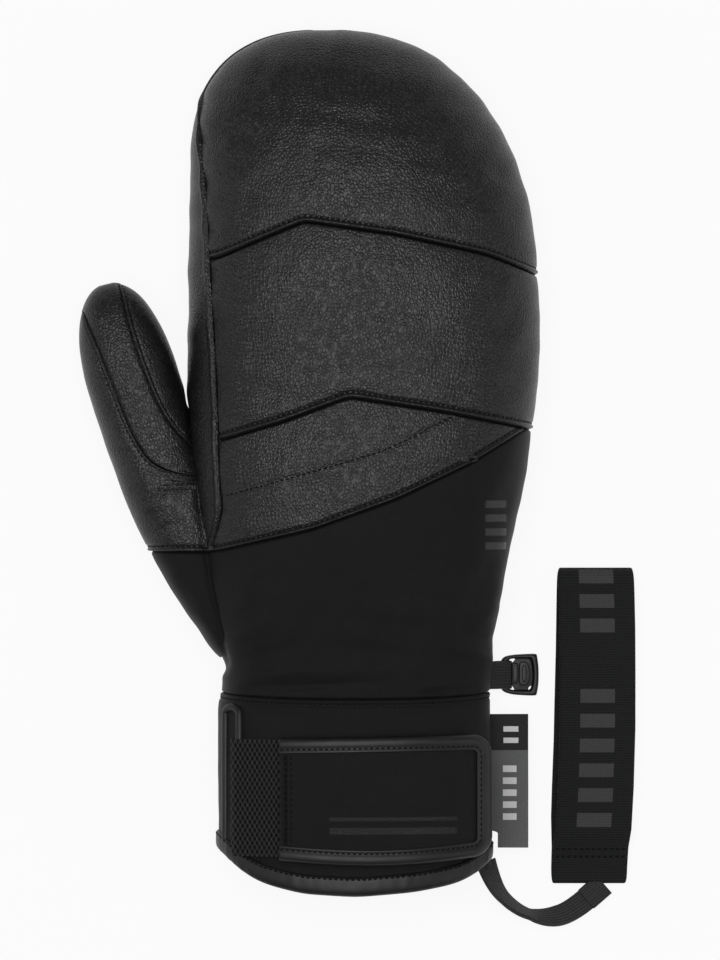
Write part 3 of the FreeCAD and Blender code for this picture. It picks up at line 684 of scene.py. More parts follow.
def makeLeash(spec):
    # the strip is tilted about its line, and lifted wherever its lower edge would pass through the floor
    line = splineLine(spec["points"])
    tangent = unit(np.gradient(line, axis=0))
    level = unit(np.cross(tangent, np.array([0.0, 0.0, 1.0])))
    up = unit(np.cross(level, tangent))
    share = lengthAlong(line, 0) / lengthAlong(line, 0)[-1]
    tilt = np.radians(np.interp(share, *zip(*spec["tilt"])))[:, None]
    side = level * np.cos(tilt) + up * np.sin(tilt)
    face = unit(np.cross(side, tangent))
    lift = np.maximum(0.0, spec["width"] / 2 * np.abs(side[:, 2:]) + spec["clear"] - line[:, 2:])
    line = line + lift * np.array([0.0, 0.0, 1.0])
    profile = flatProfile(spec["width"], spec["thickness"], 0.5)
    return makeStrip("leashWebbing", line, profile, side, face), line


leashWebbing, leashLine = makeLeash(leash)
finishPiece(leashWebbing, "webbing", "mitten", ["leash_webbing"])
print("leash made, length", round(float(lengthAlong(leashLine, 0)[-1]), 1))

# ---- the hand's surface: sections across the mitten, as the frame has them ----

tipBox = nodeBox("fingertip_back_panel")
hand = {
    "halfWidth": 58.0, "reach": float(tipBox[1][1]), "wrist": 93.0, "cuffLength": 68.0,
    "cuffHalf": 46.0, "cuffX": -4.0, "backHeight": 52.0, "cuffHeight": 48.0,
    "seam": 19.0, "tipSeam": 15.0, "tipX": -13.0, "floor": -0.5, "palm": 1.0, "palmSeam": 9.0,
    "leftShoulder": 0.65, "rightShoulder": 0.27, "backShoulder": 0.30, "palmShoulder": 0.66,
    "leftPower": 2.5, "rightPower": 2.3, "heightPower": 2.3, "backPower": 2.3, "palmPower": 3.2,
    "sideEnd": -44.0,
}
handRows = [
    (1.0, -1.005, 0.988, 0.90), (0.65, -1.005, 0.988, 0.99), (0.27, -1.015, 0.988, 1.00),
    (0.06, -1.02, 0.970, 1.00), (-0.17, -1.015, 0.919, 1.00), (-0.43, -0.975, 0.833, 0.98),
    (-0.65, -0.915, 0.764, 0.94), (-0.82, -0.845, 0.724, 0.89), (-0.90, -0.815, 0.719, 0.875),
]
cuffRows = [
    (0.02, -0.98, 0.985, 0.94), (0.12, -0.985, 0.985, 0.97), (0.45, -0.98, 0.99, 1.00),
    (0.80, -0.975, 0.985, 1.00), (1.20, -0.965, 0.97, 0.98),
]


def outlineRows():
    # rows of place, left edge, right edge and height in millimetres, from the shares above
    rows = [(share * (hand["reach"] if share > 0 else hand["wrist"]), left * hand["halfWidth"],
             right * hand["halfWidth"], height * hand["backHeight"]) for share, left, right, height in handRows]
    rows += [(-hand["wrist"] - share * hand["cuffLength"], hand["cuffX"] + left * hand["cuffHalf"],
              hand["cuffX"] + right * hand["cuffHalf"], height * hand["cuffHeight"])
             for share, left, right, height in cuffRows]
    return np.array(sorted(rows))


outline = outlineRows()


def throughRows(at):
    # smooth cubic through the outline rows: left edge, right edge and height at each place
    at = np.clip(at, outline[0, 0], outline[-1, 0])
    i = np.clip(np.searchsorted(outline[:, 0], at, side="right") - 1, 0, len(outline) - 2)
    this, following = outline[i], outline[i + 1]
    before, after = outline[np.maximum(i - 1, 0)], outline[np.minimum(i + 2, len(outline) - 1)]
    span = (following - this)[..., :1]
    t = (at - this[..., 0])[..., None] / span
    slopeIn = (following - before) / (following - before)[..., :1] * span
    slopeOut = (after - this) / (after - this)[..., :1] * span
    value = ((2 * t**3 - 3 * t**2 + 1) * this + (t**3 - 2 * t**2 + t) * slopeIn
             + (3 * t**2 - 2 * t**3) * following + (t**3 - t**2) * slopeOut)
    return value[..., 1], value[..., 2], value[..., 3]


def dome(at, start, end, power):
    # 1 up to start, then a rounded fall to 0 at end
    share = np.clip((at - start) / (end - start), 0.0, 1.0)
    return np.maximum(1 - share**power, 0.0) ** (1 / power)


def edges(y, depth=0.0):
    # left edge, right edge, seam height, top and bottom of the section at y, that deep inside
    reach = hand["reach"]
    tip = reach - depth
    leftY, rightY = hand["leftShoulder"] * reach, hand["rightShoulder"] * reach
    backY, palmY = hand["backShoulder"] * reach, hand["palmShoulder"] * reach
    left = throughRows(np.minimum(y, leftY))[0]
    right = throughRows(np.minimum(y, rightY))[1]
    height = throughRows(np.minimum(y, backY))[2]
    rise = smooth((y - backY) / (reach - backY))
    seam = hand["seam"] + (hand["tipSeam"] - hand["seam"]) * rise
    left = hand["tipX"] - (hand["tipX"] - left - depth) * dome(y, leftY, tip, hand["leftPower"])
    right = hand["tipX"] + (right - depth - hand["tipX"]) * dome(y, rightY, tip, hand["rightPower"])
    top = seam + (height - depth - seam) * dome(y, backY, tip, hand["heightPower"])
    bottom = seam - (seam - hand["floor"] - depth) * dome(y, palmY, tip, hand["heightPower"])
    return left, right, seam, top, bottom


def signedPower(value, power):
    # the size raised to the power, with its sign kept
    return np.sign(value) * np.abs(value) ** power


def powers(y):
    # roundness of the upper and the lower half of the section, both going to an ellipse at the tip
    tipness = np.clip((y - hand["reach"] / 2) / (hand["reach"] / 2), 0.0, 1.0)
    back, palm = hand["backPower"], hand["palmPower"]
    return back + (2 - back) * tipness, palm + (2 - palm) * tipness


def handSurface(angle, y, depth=0.0):
    # superellipse round the section at y: angle 0 is the little finger side and 90 degrees the back
    angle, y, depth = np.broadcast_arrays(*(np.asarray(value, float) for value in (angle, y, depth)))
    left, right, seam, top, bottom = edges(y, depth)
    above, below = powers(y)
    upper = np.sin(angle) >= 0
    power = np.where(upper, above, below)
    rise = np.where(upper, top - seam, seam - bottom)
    x = (left + right) / 2 + (right - left) / 2 * signedPower(np.cos(angle), 2 / power)
    z = seam + rise * signedPower(np.sin(angle), 2 / power)
    return np.stack([x, y, np.maximum(z, hand["palm"] + depth)], axis=-1)


def backZ(x, y, depth=0.0):
    # height of the surface over a plan point of the back
    left, right, seam, top, _ = edges(y, depth)
    above, _ = powers(y)
    share = np.clip(np.abs(x - (left + right) / 2) / ((right - left) / 2), 0.0, 0.9999)
    return seam + (top - seam) * (1 - share**above) ** (1 / above)


def palmAngle(y):
    # how far below the widest line the palm leather's seam runs
    _, _, seam, _, bottom = edges(y)
    _, below = powers(y)
    share = np.clip((seam - hand["palmSeam"]) / np.maximum(seam - bottom, 1e-6), 0.0, 1.0) ** (below / 2)
    return np.arcsin(np.minimum(share, 0.6))


sideWidth = tableCurve([(-110, 4.0), (-50, 4.0), (-42.5, 4.8), (-37, 7.4), (-30, 9.8), (-7, 10.0), (12, 9.4),
                        (40, 7.4), (60, 5.9), (72, 5.2), (83, 4.2), (98, 2.2), (108, 0.0)], 2.4)


def sideAngle(y):
    # angle of the seam between the back and the index side panel, which meets the edge near the tip
    left, right, _, _, _ = edges(y)
    above, _ = powers(y)
    half = np.maximum((right - left) / 2, 1e-6)
    return np.pi - np.arccos(np.clip((half - sideWidth(y)) / half, 0.0, 1.0) ** (above / 2))


def angleAtX(x, y):
    # the section angle over the back at which the surface has that x
    left, right, _, _, _ = edges(y)
    above, _ = powers(y)
    share = np.clip((x - (left + right) / 2) / np.maximum((right - left) / 2, 1e-6), -1.0, 1.0)
    return np.arccos(signedPower(share, above / 2))


def handDepth(points):
    # roughly how deep points lie inside the hand, from the section's own formula
    left, right, seam, top, bottom = edges(points[..., 1])
    above, below = powers(points[..., 1])
    upper = points[..., 2] >= seam
    power = np.where(upper, above, below)
    half = np.maximum((right - left) / 2, 1e-3)
    rise = np.maximum(np.where(upper, top - seam, seam - bottom), 1e-3)
    across = np.abs(points[..., 0] - (left + right) / 2) / half
    height = np.abs(points[..., 2] - seam) / rise
    value = (across**power + height**power) ** (1 / power)
    reach = np.hypot(points[..., 0] - (left + right) / 2, points[..., 2] - seam)
    return (1 - value) * reach / np.maximum(value, 1e-3)


# the warp that spaces angles evenly along a section, and the one that spaces rows evenly round the tip
warpAngles = np.linspace(-0.5 * np.pi, 1.5 * np.pi, 2001)
warpLengths = lengthAlong(handSurface(warpAngles, np.full(2001, -5.0))[:, None], 0)[:, 0]
tipPlaces = hand["reach"] - np.linspace(0.0, 1.0, 4001)[::-1] ** 2.5 * (hand["reach"] + 200.0)
tipWidth = 45.0 * dome(tipPlaces, hand["leftShoulder"] * hand["reach"], hand["reach"], hand["leftPower"])
tipLengths = np.concatenate([[0], np.cumsum(np.hypot(np.diff(tipPlaces), np.diff(tipWidth)))])


def between(first, last, share, places, lengths):
    # the value a share of the way from first to last, measured in length and not in the value itself
    low, high = np.interp(first, places, lengths), np.interp(last, places, lengths)
    return np.interp(low + (high - low) * share, lengths, places)


def betweenAngles(first, last, share):
    return between(first, last, share, warpAngles, warpLengths)


def betweenPlaces(first, last, share):
    return between(first, last, share, tipPlaces, tipLengths)


# ---- seams on the back ----

knuckleSeam = tableCurve([(-70, 50.5), (-49, 53.5), (-20.5, 65.2), (10, 60.8), (40, 54.5), (70, 43.5)], 2.2)
handSeam = tableCurve([(-70, -10.5), (-47, -6.5), (-28, -1.0), (-5.5, 7.2), (25, 2.5), (54, -3.0), (70, -6.5)], 2.2)
leatherSeam = tableCurve([(-70, -44), (-51, -44), (-18, -36.5), (10, -26.5), (35, -14.5), (53.6, -3.0), (70, 4)], 3.0)
trimLine = tableCurve([(-70, -31), (-48, -25.7), (-22, -18.6), (5, -10.8), (18, -4.6), (28.6, 1.4)], 4.0)
seamEnd, trimEnd = 53.6, 28.6  # where the lower leather panel and its stitch line end, towards the little finger
hemLine = tableCurve([(-70, -138.5), (-52, -140.5), (-48, -143.2), (-43.8, -147.6), (-38.5, -151.4),
                      (-33.0, -153.8), (-21, -156.6), (-3, -157.6), (16, -156.1), (30, -153.6), (37, -150.4),
                      (41, -146.8), (45, -143), (60, -139)], 4.0)


def wristLine(angle):
    # the wrist seam dips towards the hem over the back
    return -90.6 - 2.0 * np.maximum(np.sin(angle), 0.0) ** 1.3 - 1.4 * np.maximum(-np.sin(angle), 0.0) ** 1.3


# ---- relief: what seams, puckers and folds do to a surface ----

seamShape = {"groove": 0.75, "grooveWidth": 0.38, "lip": 0.42, "lipPlace": 0.95, "lipWidth": 0.5,
             "valley": 0.38, "valleyPlace": 2.1, "valleyWidth": 0.5}


def overSeam(d, lip=1.0):
    # the edge that lies on top: a groove at the seam, a rolled lip, then the valley that the stitches pull
    s = seamShape
    return (-s["groove"] * bell(d, s["grooveWidth"]) + lip * s["lip"] * bell(d - s["lipPlace"], s["lipWidth"])
            - s["valley"] * bell(d - s["valleyPlace"], s["valleyWidth"]))


def underSeam(d):
    # the edge that runs under: a groove and a slow rise away from it
    return -seamShape["groove"] * bell(d, 0.42) - 0.3 * np.exp(-d / 1.8)


def rolledSeam(d):
    # a turned edge without stitches on top: a groove and one broad lip
    return -0.8 * bell(d, 0.45) + 0.6 * bell(d - 1.3, 0.75)


def fineSeam(d):
    # a narrow turned edge with its stitches close by
    return -0.55 * bell(d, 0.35) + 0.25 * bell(d - 0.85, 0.4) - 0.22 * bell(d - 1.55, 0.4)


edgeShapes = {"over": overSeam, "fine": fineSeam, "under": underSeam, "rolled": rolledSeam,
              "low": lambda d: 0.6 * overSeam(d, 0.3), "plain": lambda d: -0.3 * bell(d, 0.6),
              "none": lambda d: 0.0 * d}

rippleWaves = [(0.31, 0.12, 0.4), (-0.17, 0.29, 2.1), (0.52, -0.33, 4.0), (0.08, 0.61, 1.2), (-0.71, 0.22, 5.3)]


def ripples(points, height):
    # slow uneven swelling: a sum of a few crossed sine waves in plan
    total = 0.0
    for fx, fy, phase in rippleWaves:
        total = total + np.sin(points[..., 0] * fx + points[..., 1] * fy + phase) / (1 + 3 * np.hypot(fx, fy))
    return height * total


def folds(points, lines):
    # each fold is (x0, y0, x1, y1, width, height): a bell ridge or furrow along a line, fading at its ends
    total = 0.0
    for x0, y0, x1, y1, width, height in lines:
        run = np.array([x1 - x0, y1 - y0])
        along = ((points[..., 0] - x0) * run[0] + (points[..., 1] - y0) * run[1]) / (run @ run)
        held = np.clip(along, 0.0, 1.0)
        away = np.hypot(points[..., 0] - x0 - held * run[0], points[..., 1] - y0 - held * run[1])
        total = total + height * bell(away, width) * np.sin(np.pi * np.clip(along * 0.9 + 0.05, 0.0, 1.0)) ** 0.7
    return total


def makeSurface(base, shapes, puff, ripple, foldLines=(), extra=None):
    # a panel: its base surface moved along its normals by seams at its four edges, puffing and folds
    # shapes are for the low, high, first-column and last-column edges
    run = lengthAlong(base, 0)
    ring = lengthAlong(base, 1)
    away = {"low": run, "high": run[-1:] - run, "first": ring, "last": ring[:, -1:] - ring}
    normals = gridNormals(base)
    rise, room = 0.0, 1.0
    for side, kind in zip(("low", "high", "first", "last"), shapes):
        rise = rise + edgeShapes[kind](away[side])
        if kind != "none":
            room = room * (1 - np.exp(-away[side] / 9.0))
    rise = rise + puff * room + ripples(base, ripple) * room
    if len(foldLines):
        rise = rise + folds(base, foldLines) * np.minimum(1.0, room * 3)
    if extra is not None:
        rise = rise + extra(base, away)
    points = base + normals * rise[..., None]
    points[..., 2] = np.maximum(points[..., 2], floorGap)
    return {"points": points, "normals": normals, "away": away}


def rowAt(surface, side, distance):
    # the line on a panel that keeps the same distance from one of its edges, with its normals
    away, points, normals = surface["away"][side], surface["points"], surface["normals"]
    if side in ("first", "last"):
        away, points, normals = away.T, points.transpose(1, 0, 2), normals.transpose(1, 0, 2)
    order = slice(None, None, -1) if side in ("high", "last") else slice(None)
    away, points, normals = away[order], points[order], normals[order]
    upper = np.maximum(np.argmax(away > distance, axis=0), 1)
    column = np.arange(away.shape[1])
    span = np.maximum(away[upper, column] - away[upper - 1, column], 1e-6)
    t = np.clip((distance - away[upper - 1, column]) / span, 0.0, 1.0)[:, None]
    line = points[upper - 1, column] * (1 - t) + points[upper, column] * t
    tips = normals[upper - 1, column]
    good = away[-1] > distance * 1.2
    return line[good], tips[good]


surfaces = {}


def addPanel(name, base, nodes, shapes, puff, ripple, foldLines=(), extra=None, finish="leather", hinge=None,
             **options):
    # a finished panel; its surface is kept in surfaces for the stitches
    made = surfaces[name] = makeSurface(base, shapes, puff, ripple, foldLines, extra)
    piece = gridMesh(name, made["points"], made["normals"], **{"wall": panelWall, **options})
    return finishPiece(piece, finish, None if hinge else "mitten", nodes, hinge)


# ---- panels of the back ----


def backGrid(lower, upper, firstAngle, lastAngle, rows, columns, toTip=False):
    # rows run from the lower seam to the upper one and columns from the little finger side over the back;
    # each point's y is found by repeating, since the seams are lines in plan
    s, t = spread(columns)[None, :], spread(rows)[:, None]
    y = np.zeros((rows, columns)) + (40.0 if toTip else -20.0)
    for _ in range(10):
        angle = betweenAngles(firstAngle(y), lastAngle(y), s)
        x = handSurface(angle, y)[..., 0]
        low = lower(x, angle)
        high = hand["reach"] if toTip else upper(x, angle)
        y = betweenPlaces(low, high, t) if toTip else low + (high - low) * t
    return handSurface(angle, y)


littleSide = lambda y: -palmAngle(y)
thumbSide = lambda y: np.pi + palmAngle(y)

# puckers that the side seam pulls into the leather, as (place along the seam, width, height)
puckers = [(-38, 2.6, 0.5), (-29, 2.2, -0.4), (-17, 3.0, 0.45), (-8, 2.4, -0.35), (3, 2.6, 0.5), (12, 2.0, -0.4),
           (21, 2.8, 0.5), (31, 2.2, -0.45), (39, 2.4, 0.55), (48, 2.4, -0.5), (57, 2.2, 0.55), (63, 1.8, -0.45),
           (70, 2.4, 0.6), (78, 2.2, -0.5), (85, 2.6, 0.6), (93, 2.0, -0.5), (99, 2.2, 0.55), (106, 2.2, -0.4)]


def seamPuckers(side, reachIn):
    # short folds square to the side seam that fade away from it
    def shape(points, away):
        total = 0.0
        for place, width, height in puckers:
            total = total + height * bell(points[..., 1] - place, width)
        d = away[side]
        return total * np.exp(-d / reachIn) * (1 - 0.6 * bell(d, 0.8)) * (points[..., 2] > 14)
    return shape


panelSpecs = {
    "fingertipBack": {
        "node": "fingertip_back_panel", "lower": lambda x, a: knuckleSeam(x), "upper": None,
        "rows": 150, "columns": 190, "first": littleSide, "last": sideAngle,
        "edges": ("over", "none", "plain", "under"),
        "puff": 0.9, "ripple": 0.2, "reachIn": 5.0,
        "folds": [(-47, 78, -30, 84, 3.0, 0.3), (-49, 97, -36, 92, 2.4, -0.3), (-18, 101, 8, 97, 2.0, -0.22),
                  (34, 71, 52, 60, 3.0, 0.35), (40, 84, 51, 76, 2.5, -0.3)]},
    "knuckleBack": {
        "node": "knuckle_back_panel", "lower": lambda x, a: handSeam(x), "upper": lambda x, a: knuckleSeam(x),
        "rows": 120, "columns": 200, "first": littleSide, "last": sideAngle,
        "edges": ("over", "under", "plain", "under"),
        "puff": 1.1, "ripple": 0.24, "reachIn": 6.0,
        "folds": [(-48, 14, -20, 6, 2.6, -0.4), (-49, 3, -28, 2, 2.4, 0.4), (-48, 33, -30, 40, 3.0, 0.35),
                  (30, 12, 54, 18, 3.5, 0.45), (20, 24, 54, 33, 4.0, -0.35), (-24, 9, 4, 12, 2.2, 0.25)]},
    "lowerBack": {
        "node": "lower_back_panel", "lower": lambda x, a: leatherSeam(x), "upper": lambda x, a: handSeam(x),
        "rows": 80, "columns": 170, "first": lambda y: angleAtX(seamEnd, y), "last": sideAngle,
        "edges": ("over", "under", "none", "under"),
        "puff": 0.6, "ripple": 0.3, "reachIn": 6.0, "folds": [(-48, -36, -26, -33, 2.4, 0.3)]},
}


def trimGroove(points, away):
    # the decorative stitch line across the lower leather panel lies in a shallow furrow
    gap = points[..., 1] - trimLine(points[..., 0])
    return -0.4 * bell(gap, 0.65) * (points[..., 0] < trimEnd)


for name, spec in panelSpecs.items():
    base = backGrid(spec["lower"], spec["upper"], spec["first"], spec["last"], spec["rows"], spec["columns"],
                    toTip=spec["upper"] is None)
    extra = pucker = seamPuckers("last", spec["reachIn"])
    if name == "lowerBack":
        extra = lambda points, away, pucker=pucker: pucker(points, away) + trimGroove(points, away)
    addPanel(name, base, [spec["node"]], spec["edges"], spec["puff"], spec["ripple"], spec["folds"], extra)
print("leather back panels made")

# ---- thumb surface: sections square to a bent centre line ----

thumb = {
    "base": (-42.0, -76.0), "bend": (-72.0, -14.0), "tip": (-86.6, 45.3), "halfWidth": 15.2, "halfHeight": 14.0,
    "baseShare": 0.5, "domeFrom": 0.72, "tipPower": 2.2, "power": 2.2, "z": 19.0, "palmSeam": 12.0,
    "ripple": 0.12, "within": 4.2, "wall": 1.0,
    "outerSeam": [(-97, 42), (-91.5, 30), (-86, 16.7), (-77, -6.7), (-68.7, -17.3), (-50, -19)],
    "innerSeam": [(-84, 52), (-80.5, 38), (-76.7, 24), (-68.7, 3.3), (-60, -7.5), (-50, -13)],
    "hinge": ("mitten", "thumb", (-0.052, 0.0, 0.020), (-0.066, 0.0, 0.020)),
}
thumbLength = float(np.hypot(thumb["tip"][0] - thumb["base"][0], thumb["tip"][1] - thumb["base"][1]))


def thumbCentre(share):
    # quadratic curve through the thumb's base, bend and tip, and the direction square to it in plan
    back = (1 - share)[..., None]
    share = share[..., None]
    base, bend, tip = (np.array(thumb[k]) for k in ("base", "bend", "tip"))
    place = back**2 * base + 2 * share * back * bend + share**2 * tip
    ahead = unit(2 * back * (bend - base) + 2 * share * (tip - bend))
    return place, np.stack([ahead[..., 1], -ahead[..., 0]], axis=-1)


def thumbHalves(share, depth=0.0):
    # half width and half height: a sine swell from the base, then a rounded fall to the tip
    end = 1 - depth / thumbLength
    swell = np.sin(np.clip(share / 0.45, 0.0, 1.0) * np.pi / 2)
    round_ = dome(share, thumb["domeFrom"], end, thumb["tipPower"])
    width = (thumb["halfWidth"] * (thumb["baseShare"] + (1 - thumb["baseShare"]) * swell) - depth) * round_
    height = (thumb["halfHeight"] * (0.85 + 0.15 * swell) - depth) * round_
    return width, height


def thumbSurface(share, angle, depth=0.0):
    # superellipse square to the centre line; angle 0 looks at the hand and 90 degrees up
    share, angle, depth = np.broadcast_arrays(*(np.asarray(value, float) for value in (share, angle, depth)))
    share = share * (1 - depth / thumbLength)
    place, side = thumbCentre(share)
    width, height = thumbHalves(share, depth)
    across = width * signedPower(np.cos(angle), 2 / thumb["power"])
    up = height * signedPower(np.sin(angle), 2 / thumb["power"])
    return np.concatenate([place + side * across[..., None], (thumb["z"] + up)[..., None]], axis=-1)


thumbShares = np.linspace(0.0, 1.0, 401)
thumbLine, thumbSides = thumbCentre(thumbShares)


def nearestShare(plan):
    gaps = ((plan[..., None, :] - thumbLine) ** 2).sum(-1)
    return gaps.argmin(-1)


def thumbDepth(points):
    # roughly how deep points lie inside the thumb
    flat = points.reshape(-1, 3)
    depth = np.zeros(len(flat))
    for start in range(0, len(flat), 20000):
        part = flat[start:start + 20000]
        i = nearestShare(part[:, :2])
        across = ((part[:, :2] - thumbLine[i]) * thumbSides[i]).sum(-1)
        width, height = thumbHalves(thumbShares[i])
        value = ((np.abs(across) / np.maximum(width, 1e-3)) ** 2.2
                 + (np.abs(part[:, 2] - thumb["z"]) / np.maximum(height, 1e-3)) ** 2.2) ** (1 / 2.2)
        reach = np.hypot(across, part[:, 2] - thumb["z"])
        depth[start:start + 20000] = (1 - value) * reach / np.maximum(value, 0.05)
    return depth.reshape(points.shape[:-1])


def seamAngle(points):
    # turns a seam drawn in plan into the section angle that it has at each share of the thumb's length
    line = alongLine(roundedPath(points), 300)
    i = nearestShare(line)
    across = ((line - thumbLine[i]) * thumbSides[i]).sum(-1)
    order = np.argsort(i, kind="stable")
    kept = np.unique(i[order], return_index=True)
    shares, offsets = thumbShares[kept[0]], across[order][kept[1]]

    def angle(share):
        width, _ = thumbHalves(share)
        offset = np.interp(share, shares, offsets)
        return np.arccos(signedPower(np.clip(offset / np.maximum(width, 1e-4), -1.0, 1.0), thumb["power"] / 2))
    return angle


def roundedPath(points, passes=3):
    # an open line with its corners cut back
    points = np.asarray(points, float)
    for _ in range(passes):
        inner = np.stack([0.75 * points[:-1] + 0.25 * points[1:], 0.25 * points[:-1] + 0.75 * points[1:]], axis=1)
        points = np.vstack([points[:1], inner.reshape(-1, points.shape[1]), points[-1:]])
    return points


outerAngle, innerAngle = seamAngle(thumb["outerSeam"]), seamAngle(thumb["innerSeam"])


def thumbPalmAngle(share):
    # how far below the widest line the seam on the thumb's palm side runs
    _, height = thumbHalves(share)
    drop = np.clip((thumb["z"] - thumb["palmSeam"]) / np.maximum(height, 1e-4), 0.0, 1.0) ** (thumb["power"] / 2)
    return np.arcsin(np.minimum(drop, 0.75))


def thumbStart(angle):
    # share of the length where the surface at that angle crosses the line between leather and softshell
    share = np.full(np.shape(angle), 0.3)
    for _ in range(12):
        share = np.clip(share - (thumbSurface(share, angle)[..., 1] - hand["sideEnd"]) / 125.0, 0.0, 0.9)
    return share


def thumbGrid(first, last, rows, columns, base=False):
    # rows run from the leather line to the tip, or for the base from the root to that line; found by repeating
    v, t = spread(columns)[None, :], spread(rows)[:, None]
    share = np.full((rows, columns), 0.5)
    for _ in range(10):
        angle = first(share) + (last(share) - first(share)) * v
        start = thumbStart(angle)
        share = start * t if base else start + (1 - start) * (1 - (1 - t) ** 1.5)
    return thumbSurface(share, angle)


def handGroove(points, away):
    # the thumb's skin dips where it meets the hand
    return -0.9 * bell(handDepth(points), 0.9)


thumbFolds = [(-74, -19, -60, -10, 1.6, 0.55), (-71, -22, -58, -15, 1.3, -0.5), (-78, -14, -70, -24, 2.0, 0.4),
              (-67, 2, -60, 10, 1.8, -0.4), (-84, -2, -74, -12, 2.2, 0.35), (-90, 12, -80, 4, 2.4, -0.3),
              (-76, -30, -62, -26, 2.2, 0.35), (-73, -38, -58, -33, 2.0, -0.3), (-92, 30, -86, 36, 2.5, 0.3)]
thumbSpecs = {
    "thumbOuter": {"nodes": ["thumb_outer_panel"], "first": outerAngle, "last": lambda s: np.pi + thumbPalmAngle(s),
                   "rows": 150, "columns": 60, "edges": ("over", "none", "fine", "plain"), "puff": 0.6},
    "thumbStrip": {"nodes": ["thumb_center_strip"], "first": innerAngle, "last": outerAngle,
                   "rows": 150, "columns": 40, "edges": ("none", "none", "plain", "plain"), "puff": 0.5},
    "thumbInner": {"nodes": ["thumb_inner_panel", "thumb_gusset"], "first": lambda s: -thumbPalmAngle(s),
                   "last": innerAngle, "rows": 150, "columns": 50, "edges": ("none", "none", "plain", "fine"),
                   "puff": 0.5},
    "thumbPalm": {"nodes": ["thumb_palm_panel"], "first": lambda s: np.pi + thumbPalmAngle(s),
                  "last": lambda s: 2 * np.pi - thumbPalmAngle(s), "rows": 90, "columns": 60,
                  "edges": ("plain", "none", "plain", "plain"), "puff": 0.3},
    "thumbBase": {"nodes": ["thumb_base_panel"], "first": lambda s: 0 * s - 0.5 * np.pi,
                  "last": lambda s: 0 * s + 1.5 * np.pi, "rows": 70, "columns": 150,
                  "edges": ("none", "under", "none", "none"), "puff": 0.2, "base": True},
}
baseFolds = [(-66, -50, -58, -62, 2.0, 0.3), (-62, -54, -55, -66, 1.8, -0.3), (-58, -62, -50, -72, 1.8, 0.3),
             (-68, -48, -58, -49, 1.8, 0.3)]
for name, spec in thumbSpecs.items():
    soft = spec.get("base", False)
    base = thumbGrid(spec["first"], spec["last"], spec["rows"], spec["columns"], soft)
    addPanel(name, base, spec["nodes"], spec["edges"], spec["puff"], thumb["ripple"],
             baseFolds if soft else thumbFolds, handGroove, "softshell" if soft else "leather", thumb["hinge"],
             keep=handDepth(base) < thumb["within"], ringAcross=soft, wall=thumb["wall"])
print("thumb panels made")


def shown(line, normals, limit=0.3):
    # the stretches of a stitch line outside the hand
    clear = handDepth(line) < limit
    return line[clear], normals[clear]


thumbStitches = [shown(*rowAt(surfaces[name], side, distance)) for name, side, distance in (
    ("thumbOuter", "first", 1.5), ("thumbOuter", "low", 2.1), ("thumbInner", "last", 1.5))]
stitchSet("thumbStitches", thumbStitches, None, thumb["hinge"])

# ---- the rest of the shell: softshell back, index side, palm and grip patch ----

shellWithin = 4.0  # how far the hand's panels run on into the thumb
lowerBackSeam = lambda x, a: np.minimum(leatherSeam(x), handSeam(x))


def thumbGroove(points, away):
    # the hand's skin dips where the thumb leaves it
    return -0.9 * bell(thumbDepth(points), 0.9)


def softWrinkles(points, away):
    # gathers that the wrist seam pulls into the softshell over it
    gap = away["low"]
    pull = np.sin(points[..., 0] * 0.55 + 0.8 * np.sin(points[..., 0] * 0.23)) * 0.22
    return pull * np.exp(-gap / 6.0) * (points[..., 2] > 20) + thumbGroove(points, away)


softFolds = [(-48, -86, -14, -82, 2.2, 1.0), (-46, -80, -22, -75, 2.4, -0.9), (-40, -89, 6, -87, 1.7, -0.7),
             (-48, -75, -36, -69, 2.0, 0.8), (-46, -68, -30, -60, 2.6, -0.6), (42, -80, 26, -75, 2.0, 0.8),
             (43, -73, 30, -70, 2.2, -0.7), (16, -89, 40, -85, 1.8, 0.7), (-20, -84, 12, -81, 2.4, 0.55),
             (44, -62, 34, -66, 2.4, 0.6), (-12, -76, 20, -79, 3.0, -0.5), (-4, -60, 26, -66, 4.0, 0.45),
             (-44, -52, -28, -46, 3.0, 0.5), (38, -50, 46, -44, 2.6, -0.5)]
base = backGrid(lambda x, a: wristLine(a), lowerBackSeam, littleSide, thumbSide, 130, 240)
addPanel("handBack", base, ["hand_back_panel"], ("under", "under", "plain", "plain"), 0.5, 0.25, softFolds,
         softWrinkles, "softshellMarked", keep=thumbDepth(base) < shellWithin)

pucker = seamPuckers("first", 4.0)
base = backGrid(lambda x, a: 0 * x + hand["sideEnd"], None, sideAngle, thumbSide, 240, 46, toTip=True)
addPanel("indexSide", base, ["index_side_panel"], ("over", "none", "rolled", "plain"), 0.7, 0.3,
         extra=lambda points, away: pucker(points, away) * -0.8 + thumbGroove(points, away),
         keep=thumbDepth(base) < shellWithin)

# the same warp of angles for the palm alone
palmWarp = np.linspace(1.0 * np.pi, 2.0 * np.pi, 1001)
palmLengths = lengthAlong(handSurface(palmWarp, np.full(1001, -5.0))[:, None], 0)[:, 0]
palmLast = lambda y: 2 * np.pi - palmAngle(y)


def palmGrid(rows, columns):
    # the palm runs between the two palm seams, from the wrist to the tip
    s, t = spread(columns, 0.3)[None, :], spread(rows)[:, None]
    y = np.zeros((rows, columns))
    for _ in range(8):
        angle = between(thumbSide(y), palmLast(y), s, palmWarp, palmLengths)
        y = betweenPlaces(wristLine(angle), hand["reach"], t)
    return handSurface(angle, y)


base = palmGrid(190, 130)
addPanel("palmLeather", base, ["palm_panel"], ("under", "none", "plain", "plain"), 0.0, 0.0, extra=thumbGroove,
         keep=thumbDepth(base) < shellWithin)


